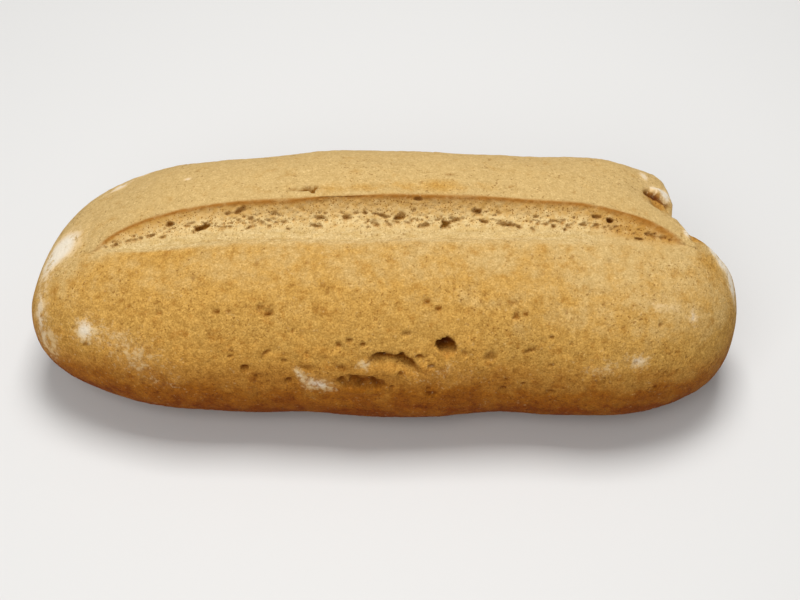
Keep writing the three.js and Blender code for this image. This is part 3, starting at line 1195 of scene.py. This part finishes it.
class Nodes:
    """Short calls that add shader nodes to one tree, each giving back the socket that it ends in."""

    def __init__(self, tree: bpy.types.NodeTree) -> None:
        """Keeps the tree that the nodes go into."""
        self.tree = tree

    def feed(self, socket: Socket, value: Any) -> None:
        """Links a socket to another one, or sets it to a plain value.

        Args:
            socket: The socket that is fed.
            value: A socket, or the value to set.
        """
        if isinstance(value, bpy.types.NodeSocket):
            self.tree.links.new(value, socket)
        else:
            socket.default_value = value

    def add(self, kind: str, inputs: dict[Any, Any], **settings: Any) -> bpy.types.Node:
        """Adds a node, sets its settings and feeds its inputs.

        Args:
            kind: The node's type.
            inputs: Sockets or values by the input's name or number.
            **settings: The node's own properties.

        Returns:
            The new node.
        """
        node = self.tree.nodes.new(kind)
        for name, value in settings.items():
            setattr(node, name, value)
        for name, value in inputs.items():
            self.feed(node.inputs[name], value)
        return node

    def noise(self, vector: Socket, size: Any, detail: float, roughness: float) -> Socket:
        """Cloudy noise whose patches are about a size across, in the vector's own unit.

        Args:
            vector: Places to read the noise at.
            size: Size of its patches.
            detail: Number of finer layers.
            roughness: How strong each finer layer is.

        Returns:
            The noise, about 0.5 on the whole.
        """
        scale = self.calc("DIVIDE", 1.0, size)
        inputs = {"Vector": vector, "Scale": scale, "Detail": detail, "Roughness": roughness}
        return self.add("ShaderNodeTexNoise", inputs).outputs[0]

    def calc(self, operation: str, first: Any, second: Any = 0.0) -> Socket:
        """One step of arithmetic on two values."""
        return self.add("ShaderNodeMath", {0: first, 1: second}, operation=operation).outputs[0]

    def span(self, value: Any, start: Any, end: Any, low: float = 0.0, high: float = 1.0) -> Socket:
        """A value eased from low at start to high at end."""
        inputs = {"Value": value, "From Min": start, "From Max": end, "To Min": low, "To Max": high}
        return self.add("ShaderNodeMapRange", inputs, interpolation_type="SMOOTHSTEP").outputs[0]

    def mix(self, first: Any, second: Any, share: Any, blend: str = "MIX") -> Socket:
        """Two colours mixed by a share of the second."""
        node = self.add("ShaderNodeMix", {0: share, 6: first, 7: second}, data_type="RGBA", blend_type=blend)
        return node.outputs[2]

    def mask(self, name: str) -> Socket:
        """A mask that the mesh carries for each of its points."""
        return self.add("ShaderNodeAttribute", {}, attribute_name=name).outputs["Fac"]

    def group(self, tree: bpy.types.NodeTree, inputs: dict[str, Any]) -> Socket:
        """A node group's mask for these inputs.

        Args:
            tree: The group.
            inputs: Sockets or values by the input's name.

        Returns:
            The mask.
        """
        node = self.tree.nodes.new("ShaderNodeGroup")
        node.node_tree = tree
        for name, value in inputs.items():
            self.feed(node.inputs[name], value)
        return node.outputs["Mask"]


def new_group(name: str, values: tuple[str, ...]) -> tuple[Nodes, bpy.types.Node, Socket]:
    """A node group with a vector, some values and one mask that it puts out.

    Args:
        name: The group's name.
        values: Names of its value inputs.

    Returns:
        Its nodes, the node that holds its inputs, and the socket that takes its mask.
    """
    tree = bpy.data.node_groups.new(name, "ShaderNodeTree")
    tree.interface.new_socket("Vector", in_out="INPUT", socket_type="NodeSocketVector")
    for value in values:
        tree.interface.new_socket(value, in_out="INPUT", socket_type="NodeSocketFloat")
    tree.interface.new_socket("Mask", in_out="OUTPUT", socket_type="NodeSocketFloat")
    nodes = Nodes(tree)
    source = tree.nodes.new("NodeGroupInput")
    sink = tree.nodes.new("NodeGroupOutput")
    return nodes, source, sink.inputs["Mask"]


# The share of a speck's radius that is solid
SPECK_CORE = 0.35

# The finer layers of the noise that breaks a mask up, its middle value, and where the sum is cut
BREAKUP_DETAIL = 5.0
BREAKUP_ROUGHNESS = 0.65
NOISE_MIDDLE = 0.5
BREAKUP_CUT = 0.5


def speck_group() -> bpy.types.NodeTree:
    """Specks: round spots of some radius in a share of the cells of a random net.

    Returns:
        The group, with the inputs Vector, Size, Radius and Share.
    """
    nodes, source, mask = new_group("specks", ("Size", "Radius", "Share"))
    scale = nodes.calc("DIVIDE", 1.0, source.outputs["Size"])
    cells = nodes.add("ShaderNodeTexVoronoi", {"Vector": source.outputs["Vector"], "Scale": scale})
    reach = nodes.calc("DIVIDE", source.outputs["Radius"], source.outputs["Size"])
    spot = nodes.span(cells.outputs["Distance"], reach, nodes.calc("MULTIPLY", reach, SPECK_CORE))
    draw = nodes.add("ShaderNodeSeparateColor", {0: cells.outputs["Color"]}).outputs[0]
    chosen = nodes.calc("LESS_THAN", draw, source.outputs["Share"])
    nodes.feed(mask, nodes.calc("MULTIPLY", spot, chosen))
    return nodes.tree


def breakup_group() -> bpy.types.NodeTree:
    """Break-up: a soft amount turned into grainy patches, by adding noise and cutting it at the half.

    Returns:
        The group, with the inputs Vector, Amount, Size, Spread and Edge.
    """
    nodes, source, mask = new_group("breakup", ("Amount", "Size", "Spread", "Edge"))
    place, size = source.outputs["Vector"], source.outputs["Size"]
    noise = nodes.noise(place, size, BREAKUP_DETAIL, BREAKUP_ROUGHNESS)
    centred = nodes.calc("SUBTRACT", noise, NOISE_MIDDLE)
    offset = nodes.calc("MULTIPLY", centred, source.outputs["Spread"])
    value = nodes.calc("ADD", source.outputs["Amount"], offset)
    low = nodes.calc("SUBTRACT", BREAKUP_CUT, source.outputs["Edge"])
    high = nodes.calc("ADD", BREAKUP_CUT, source.outputs["Edge"])
    nodes.feed(mask, nodes.span(value, low, high))
    return nodes.tree


@dataclass(frozen=True)
class Rise:
    """A smooth rise of a value, from low at start to high at end."""

    start: float
    end: float
    low: float = 0.0
    high: float = 1.0

    def of(self, nodes: Nodes, value: Socket) -> Socket:
        """The eased value."""
        return nodes.span(value, self.start, self.end, self.low, self.high)


@dataclass(frozen=True)
class Cloud:
    """Cloudy noise: the size of its patches in millimetres, its finer layers and how strong they are."""

    size: float
    detail: float
    roughness: float = 0.55

    def at(self, nodes: Nodes, place: Socket) -> Socket:
        """The noise at a place."""
        return nodes.noise(place, self.size, self.detail, self.roughness)


@dataclass(frozen=True)
class Mottle:
    """Cloudy noise, eased so that its patches stand out."""

    cloud: Cloud
    rise: Rise

    def at(self, nodes: Nodes, place: Socket) -> Socket:
        """The eased noise at a place."""
        return self.rise.of(nodes, self.cloud.at(nodes, place))


@dataclass(frozen=True)
class Speckle:
    """Specks in a net of cells: the cells' size, the specks' radius and the share of cells that have one."""

    size: float
    radius: float
    share: float

    def at(self, nodes: Nodes, place: Socket, specks: bpy.types.NodeTree) -> Socket:
        """The specks' mask at a place, from the group that makes specks."""
        inputs = {"Vector": place, "Size": self.size, "Radius": self.radius, "Share": self.share}
        return nodes.group(specks, inputs)


@dataclass(frozen=True)
class CrustFinish:
    """The finish of the whole loaf: baked crust, pale bloom, open crumb, a browned lip and flour."""

    straw: Colour = srgb(198, 166, 108)
    amber: Colour = srgb(191, 146, 72)
    honey: Colour = srgb(196, 144, 65)
    # Tint of the darkening at the base, which is partly browning and partly painted shade
    toast_and_shade: Colour = (0.61, 0.41, 0.15, 1.0)
    bran: Colour = (0.56, 0.47, 0.36, 1.0)
    fleck: Colour = (1.16, 1.2, 1.3, 1.0)
    dull: Colour = (0.82, 0.78, 0.69, 1.0)
    glow: Colour = (1.12, 1.13, 1.16, 1.0)
    grit: Colour = (0.8, 0.76, 0.68, 1.0)
    sheen: Colour = (1.13, 1.15, 1.2, 1.0)
    blotch: Colour = (0.8, 0.71, 0.58, 1.0)
    bloom: Colour = srgb(206, 179, 126)
    bloom_warm: Colour = srgb(196, 165, 106)
    crumb: Colour = srgb(222, 194, 138)
    crumb_tan: Colour = srgb(206, 168, 104)
    scorched: Colour = srgb(182, 136, 66)
    # Tint of painted shade in the marks, the crumb's bubbles and its pinholes
    shadow: Colour = (0.42, 0.27, 0.075, 1.0)
    lip: Colour = srgb(156, 102, 36)
    haze: Colour = srgb(222, 190, 138)
    flour: Colour = srgb(232, 220, 199)

    patches: Mottle = Mottle(Cloud(9.0, 5.0, 0.65), Rise(0.2, 0.8, -0.4, 0.4))
    to_amber: Rise = Rise(0.0, 1.0)
    to_honey: Rise = Rise(1.0, 2.0)
    baked_unevenly: Mottle = Mottle(Cloud(9.0, 4.0), Rise(0.3, 0.7, 0.7, 1.3))
    graininess: Rise = Rise(0.0, 1.2, 0.45, 1.0)
    tones: Mottle = Mottle(Cloud(2.6, 5.0, 0.7), Rise(0.32, 0.68))
    fine_grit: Mottle = Mottle(Cloud(0.7, 2.0), Rise(0.3, 0.7))
    blots: Mottle = Mottle(Cloud(4.5, 4.0, 0.6), Rise(0.54, 0.72))
    bran_clusters: Mottle = Mottle(Cloud(14.0, 2.0), Rise(0.36, 0.64, 0.15, 0.9))
    bran_dashes: Mottle = Mottle(Cloud(1.2, 3.0, 0.6), Rise(0.58, 0.66))
    flecks: Mottle = Mottle(Cloud(1.0, 3.0, 0.6), Rise(0.52, 0.66))

    drawn_out: tuple[float, float, float] = (0.3, 1.0, 1.0)
    streaks: Mottle = Mottle(Cloud(1.8, 4.0, 0.6), Rise(0.35, 0.68))
    bloom_edge: Cloud = Cloud(3.5, 6.0, 0.7)
    bloom_fray: float = 0.7
    bloom_cover: Rise = Rise(0.5, 1.3)
    crumb_clouds: Mottle = Mottle(Cloud(2.2, 4.0, 0.65), Rise(0.38, 0.66))
    scorch_patches: Mottle = Mottle(Cloud(4.0, 3.0), Rise(0.2, 0.6, 0.4, 1.0))
    # Specks of painted shade for pinholes too small for the mesh, and how strongly they shade the bloom
    pinhole_shades: Speckle = Speckle(1.3, 0.4, 0.6)
    fine_pinhole_shades: Speckle = Speckle(0.8, 0.28, 0.7)
    bloom_pinhole_shade: float = 0.6
    lip_patches: Mottle = Mottle(Cloud(6.0, 3.0), Rise(0.25, 0.6, 0.5, 1.0))

    drifts: Mottle = Mottle(Cloud(5.0, 3.0), Rise(0.35, 0.65, 0.5, 1.3))
    flour_grain: float = 1.8
    flour_spread: float = 2.8
    flour_edge: float = 0.24
    flour_thickness: Rise = Rise(0.3, 1.0, 0.4, 0.72)
    flour_haze: Rise = Rise(0.05, 0.8, 0.0, 0.22)
    to_flour: Rise = Rise(0.5, 1.3)

    roughness: float = 0.82
    flour_roughness: float = 0.97
    specular: float = 0.1
    peel: Cloud = Cloud(1.6, 4.0, 0.6)
    tooth: Cloud = Cloud(0.6, 2.0)
    tooth_height: float = 0.5
    flour_height: float = 0.25
    bump_strength: float = 0.6
    bump_distance: float = 0.0008

    def crust_colour(self, nodes: Nodes, place: Socket) -> Socket:
        """The crust's colour without grain: straw, amber and honey in patches, with browning and painted
        shade low down.

        Args:
            nodes: The material's nodes.
            place: Places in millimetres.

        Returns:
            The colour.
        """
        blush = nodes.calc("ADD", nodes.mask("blush"), self.patches.at(nodes, place))
        colour = nodes.mix(self.straw, self.amber, self.to_amber.of(nodes, blush))
        colour = nodes.mix(colour, self.honey, self.to_honey.of(nodes, blush))
        # Darkening at the base, partly browning and partly painted shade, uneven in patches
        bake_and_shade = nodes.calc("MULTIPLY", nodes.mask("bake_and_shade"), self.baked_unevenly.at(nodes, place))
        return self.darkened(nodes, colour, self.toast_and_shade, bake_and_shade)

    @staticmethod
    def darkened(nodes: Nodes, colour: Socket, tint: Colour, amount: Socket) -> Socket:
        """A colour multiplied by a tint, once for an amount up to 1 and once more for what is over 1.

        Args:
            nodes: The material's nodes.
            colour: The colour.
            tint: The tint.
            amount: How much of the tint, from 0 to 2.

        Returns:
            The darker colour.
        """
        colour = nodes.mix(colour, tint, amount, "MULTIPLY")
        return nodes.mix(colour, tint, nodes.calc("SUBTRACT", amount, 1.0), "MULTIPLY")

    def grained(self, nodes: Nodes, place: Socket, colour: Socket) -> Socket:
        """A colour with the crust's grain: mottles, fine grit, bran dashes in clusters and pale flecks.

        Args:
            nodes: The material's nodes.
            place: Places in millimetres.
            colour: The colour without grain.

        Returns:
            The colour, grainier where the crust is warmer.
        """
        strength = self.graininess.of(nodes, nodes.mask("blush"))
        tone = nodes.mix(self.dull, self.glow, self.tones.at(nodes, place))
        colour = nodes.mix(colour, tone, strength, "MULTIPLY")
        fine = nodes.mix(self.grit, self.sheen, self.fine_grit.at(nodes, place))
        colour = nodes.mix(colour, fine, strength, "MULTIPLY")
        blot = nodes.calc("MULTIPLY", self.blots.at(nodes, place), strength)
        colour = nodes.mix(colour, self.blotch, blot, "MULTIPLY")
        dash = nodes.calc("MULTIPLY", self.bran_dashes.at(nodes, place), self.bran_clusters.at(nodes, place))
        colour = nodes.mix(colour, self.bran, dash, "MULTIPLY")
        return nodes.mix(colour, self.fleck, self.flecks.at(nodes, place), "MULTIPLY")

    def bloom_colour(self, nodes: Nodes, place: Socket, crust: Socket) -> Socket:
        """The pale bloom laid over the crust: streaks along the loaf, with a frayed edge, and both grained.

        Args:
            nodes: The material's nodes.
            place: Places in millimetres.
            crust: The crust's colour.

        Returns:
            The colour.
        """
        drawn = nodes.add("ShaderNodeVectorMath", {0: place, 1: self.drawn_out}, operation="MULTIPLY")
        bloom = nodes.mix(self.bloom, self.bloom_warm, self.streaks.at(nodes, drawn.outputs[0]))
        fray = nodes.calc("MULTIPLY", self.bloom_edge.at(nodes, place), self.bloom_fray)
        cover = self.bloom_cover.of(nodes, nodes.calc("ADD", nodes.mask("bloom"), fray))
        return self.grained(nodes, place, nodes.mix(crust, bloom, cover))

    def slash_colour(self, nodes: Nodes, place: Socket, crust: Socket, specks: bpy.types.NodeTree) -> Socket:
        """The slash's colours over the crust's: bloom, crumb browner towards its top, painted pinhole shade,
        and lip.

        Args:
            nodes: The material's nodes.
            place: Places in millimetres.
            crust: The crust's colour.
            specks: The group that makes specks.

        Returns:
            The colour.
        """
        # Specks of painted shade for pinholes too small for the mesh, in the crumb and, tinted like bran, in
        # the bloom
        large_pinhole_shade = self.pinhole_shades.at(nodes, place, specks)
        pinhole_shade = nodes.calc("MAXIMUM", large_pinhole_shade, self.fine_pinhole_shades.at(nodes, place, specks))
        crumb = nodes.mix(self.crumb, self.crumb_tan, self.crumb_clouds.at(nodes, place))
        scorch = nodes.calc("MULTIPLY", nodes.mask("scorch"), self.scorch_patches.at(nodes, place))
        crumb = nodes.mix(crumb, self.scorched, scorch)
        crumb = nodes.mix(crumb, self.shadow, pinhole_shade, "MULTIPLY")

        colour = self.bloom_colour(nodes, place, crust)
        shaded_bloom_pinholes = nodes.calc("MULTIPLY", nodes.mask("bloom"), nodes.calc("MULTIPLY", pinhole_shade, self.bloom_pinhole_shade))
        colour = nodes.mix(colour, self.bran, shaded_bloom_pinholes, "MULTIPLY")
        colour = nodes.mix(colour, crumb, nodes.mask("crumb"))
        lip = nodes.calc("MULTIPLY", nodes.mask("lip"), self.lip_patches.at(nodes, place))
        return nodes.mix(colour, self.lip, lip)

    def flour_cover(self, nodes: Nodes, place: Socket, breakup: bpy.types.NodeTree) -> Socket:
        """How much flour hides the crust: a grainy cover, denser where it is thick, over a thin haze.

        Args:
            nodes: The material's nodes.
            place: Places in millimetres.
            breakup: The group that breaks a soft mask up.

        Returns:
            Cover from 0 to 1.
        """
        amount = nodes.calc("MULTIPLY", nodes.mask("flour"), self.drifts.at(nodes, place))
        grain = {"Size": self.flour_grain, "Spread": self.flour_spread, "Edge": self.flour_edge}
        grains = nodes.group(breakup, {"Vector": place, "Amount": amount, **grain})
        cover = nodes.calc("MULTIPLY", grains, self.flour_thickness.of(nodes, amount))
        return nodes.calc("ADD", cover, self.flour_haze.of(nodes, amount))

    def bump(self, nodes: Nodes, place: Socket, flour: Socket) -> Socket:
        """The bump of the surface: its peel, a finer tooth and the flour on it.

        Args:
            nodes: The material's nodes.
            place: Places in millimetres.
            flour: How much flour hides the crust.

        Returns:
            The normal.
        """
        tooth = nodes.calc("MULTIPLY", self.tooth.at(nodes, place), self.tooth_height)
        height = nodes.calc("ADD", self.peel.at(nodes, place), tooth)
        height = nodes.calc("ADD", height, nodes.calc("MULTIPLY", flour, self.flour_height))
        inputs = {"Height": height, "Strength": self.bump_strength, "Distance": self.bump_distance}
        return nodes.add("ShaderNodeBump", inputs).outputs[0]

    def material(self) -> bpy.types.Material:
        """The whole material: the colours, their roughness, and a bump of grain and flour.

        Returns:
            The material.
        """
        made = bpy.data.materials.new("baked_crust")
        made.use_nodes = True
        nodes = Nodes(made.node_tree)
        shader = made.node_tree.nodes["Principled BSDF"]
        metres = nodes.add("ShaderNodeTexCoord", {}).outputs["Object"]
        scaled = nodes.add("ShaderNodeVectorMath", {0: metres, "Scale": 1.0 / MM}, operation="SCALE")
        place = scaled.outputs[0]

        colour = self.slash_colour(nodes, place, self.crust_colour(nodes, place), speck_group())
        # Painted shade in the marks and the crumb's bubbles darkens the colour by the shadow tint, once or
        # twice over
        dark = nodes.calc("MAXIMUM", nodes.mask("hollow"), nodes.mask("pore"))
        colour = self.darkened(nodes, colour, self.shadow, dark)
        flour = self.flour_cover(nodes, place, breakup_group())
        powder = nodes.mix(self.haze, self.flour, self.to_flour.of(nodes, nodes.mask("flour")))
        nodes.feed(shader.inputs["Base Color"], nodes.mix(colour, powder, flour))

        rough = nodes.span(flour, 0.0, 1.0, self.roughness, self.flour_roughness)
        nodes.feed(shader.inputs["Roughness"], rough)
        shader.inputs["Specular IOR Level"].default_value = self.specular
        nodes.feed(shader.inputs["Normal"], self.bump(nodes, place, flour))
        return made


@dataclass
class Loaf:
    """The loaf as one closed mesh that stands for the solid of the frame."""

    skin: LoafSkin
    finish: CrustFinish

    def faces(self, rows: int, columns: int) -> tuple[list[list[int]], Array]:
        """The skin's faces: quads between columns, and a fan of triangles at each tip.

        Args:
            rows: Rows of the grid, the last of which joins the first.
            columns: Steps of the grid from tip to tip.

        Returns:
            The faces as lists of point numbers, the tips being points 0 and 1, and their UV corners.
        """
        shares = self.skin.row_shares()
        tips = 2
        row = np.arange(rows)
        after = (row + 1) % rows
        step = np.arange(columns - 2)
        near = tips + step[:, None] * rows + row
        near_after = tips + step[:, None] * rows + after
        quads = np.stack([near, near + rows, near_after + rows, near_after], axis=-1).reshape(-1, 4)
        left = np.stack([np.zeros(rows, int), tips + row, tips + after], axis=-1)
        last = tips + (columns - 2) * rows
        right = np.stack([last + row, np.ones(rows, int), last + after], axis=-1)

        low, high = shares[:-1], shares[1:]
        u_near = np.broadcast_to(((step + 1) / columns)[:, None], near.shape)
        u_far = u_near + 1.0 / columns
        v_low = np.broadcast_to(low, near.shape)
        v_high = np.broadcast_to(high, near.shape)
        quad_uv = np.stack([u_near, v_low, u_far, v_low, u_far, v_high, u_near, v_high], axis=-1)
        middle = (low + high) / 2.0
        u_left = np.full(rows, 1.0 / columns)
        u_right = 1.0 - u_left
        left_uv = np.stack([np.zeros(rows), middle, u_left, low, u_left, high], axis=-1)
        right_uv = np.stack([u_right, low, np.ones(rows), middle, u_right, high], axis=-1)
        corners = np.concatenate([quad_uv.ravel(), left_uv.ravel(), right_uv.ravel()])
        return [*quads.tolist(), *left.tolist(), *right.tolist()], corners

    @staticmethod
    def spread(grid: Array) -> Array:
        """A grid's values in the order of the mesh's points: both tips, then column by column."""
        rings = np.swapaxes(grid[:-1, 1:-1], 0, 1).reshape(-1, *grid.shape[2:])
        return np.concatenate([grid[:1, 0], grid[:1, -1], rings])

    def build(self) -> bpy.types.Object:
        """Makes the mesh with its masks, UV map and finish, and rides it on the loaf's body.

        Returns:
            The loaf's object.
        """
        grid, masks = self.skin.build()
        rows, columns = grid.shape[0] - 1, grid.shape[1] - 1
        faces, corners = self.faces(rows, columns)
        mesh = bpy.data.meshes.new(PIECE)
        mesh.from_pydata((self.spread(grid) * MM).tolist(), [], faces)
        mesh.uv_layers.new(name=UV_MAP).data.foreach_set("uv", corners)
        for name, values in masks.items():
            layer = mesh.attributes.new(name, "FLOAT", "POINT")
            spread = self.spread(np.broadcast_to(values, grid.shape[:2]))
            layer.data.foreach_set("value", spread.astype(np.float32))
        mesh.shade_smooth()
        mesh.materials.append(self.finish.material())
        mesh.validate()
        piece = bpy.data.objects.new(PIECE, mesh)
        bpy.context.scene.collection.objects.link(piece)
        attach(piece, BODY)
        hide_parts(NODE)
        return piece


@dataclass(frozen=True)
class SoftLight:
    """A square studio light: its place in metres, its side in metres and its power in watts."""

    name: str
    place: tuple[float, float, float]
    side: float
    watts: float
    colour: tuple[float, float, float] = (1.0, 1.0, 1.0)

    def build(self, aim: Vector) -> bpy.types.Object:
        """Makes the light and turns it towards a point.

        Args:
            aim: The point that it lights.

        Returns:
            The light's object.
        """
        data = bpy.data.lights.new(self.name, "AREA")
        data.size = self.side
        data.energy = self.watts
        data.color = self.colour
        light = bpy.data.objects.new(self.name, data)
        light.location = self.place
        light.rotation_mode = "QUATERNION"
        light.rotation_quaternion = (aim - light.location).to_track_quat("-Z", "Y")
        bpy.context.scene.collection.objects.link(light)
        return light


@dataclass
class Studio:
    """The plain studio: a pale floor, soft lights, and a camera that looks down on the loaf."""

    floor_side: float = 6.0
    floor_gap: float = 0.0002
    floor_colour: Colour = srgb(216, 215, 213)
    floor_roughness: float = 0.7
    ambient: float = 0.25
    target: tuple[float, float, float] = (0.00642, -0.00688, 0.027)
    distance: float = 0.5287
    elevation: float = 48.0
    lens: float = 58.5
    lights: tuple[SoftLight, ...] = (
        SoftLight("overhead", (0.03, 0.2, 1.03), 0.45, 8.9),
        SoftLight("front_fill", (-0.3, -0.8, 0.9), 0.9, 6.5),
    )

    def floor(self) -> bpy.types.Object:
        """A square floor of matt pale paint just below the loaf's base.

        Returns:
            The floor's object.
        """
        half = self.floor_side / 2.0
        signs = np.array([[-1, -1], [1, -1], [1, 1], [-1, 1]])
        corners = np.column_stack([signs * half, np.full(len(signs), -self.floor_gap)])
        mesh = bpy.data.meshes.new("floor")
        mesh.from_pydata(corners.tolist(), [], [[0, 1, 2, 3]])
        paint = bpy.data.materials.new("pale_floor")
        paint.use_nodes = True
        shader = paint.node_tree.nodes["Principled BSDF"]
        shader.inputs["Base Color"].default_value = self.floor_colour
        shader.inputs["Roughness"].default_value = self.floor_roughness
        mesh.materials.append(paint)
        floor = bpy.data.objects.new("floor", mesh)
        bpy.context.scene.collection.objects.link(floor)
        return floor

    def camera(self) -> bpy.types.Object:
        """A camera straight in front of the loaf, looking down at the photographed angle.

        Returns:
            The camera's object.
        """
        data = bpy.data.cameras.new("camera")
        data.lens = self.lens
        camera = bpy.data.objects.new("camera", data)
        lift = np.radians(self.elevation)
        back = Vector((0.0, -np.cos(lift), np.sin(lift)))
        camera.location = Vector(self.target) + back * self.distance
        camera.rotation_mode = "QUATERNION"
        camera.rotation_quaternion = (-back).to_track_quat("-Z", "Y")
        bpy.context.scene.collection.objects.link(camera)
        bpy.context.scene.camera = camera
        return camera

    def surroundings(self) -> None:
        """Even grey light from all round, and colours shown as they are."""
        world = bpy.data.worlds.new("studio")
        world.use_nodes = True
        background = world.node_tree.nodes["Background"]
        background.inputs["Color"].default_value = (1.0, 1.0, 1.0, 1.0)
        background.inputs["Strength"].default_value = self.ambient
        bpy.context.scene.world = world
        bpy.context.scene.view_settings.view_transform = "Standard"

    def build(self) -> None:
        """Makes the floor, the lights, the surroundings and the camera."""
        self.floor()
        for light in self.lights:
            light.build(Vector(self.target))
        self.surroundings()
        self.camera()


def main() -> None:
    """Loads the frame, builds the loaf and the studio round it, and reports each piece."""
    logging.basicConfig(level=logging.INFO, format="%(name)s: %(message)s")
    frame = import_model()
    low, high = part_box(NODE)
    form = LoafForm(length=(high.x - low.x) / MM)
    LOG.info("frame holds %s, %.1f mm long", ", ".join(frame["nodes"]), form.length)
    piece = Loaf(LoafSkin(form), CrustFinish()).build()
    LOG.info("%s has %d points and %d faces", piece.name, len(piece.data.vertices), len(piece.data.polygons))
    Studio().build()
    LOG.info("studio is ready")


if __name__ == "__main__":
    main()
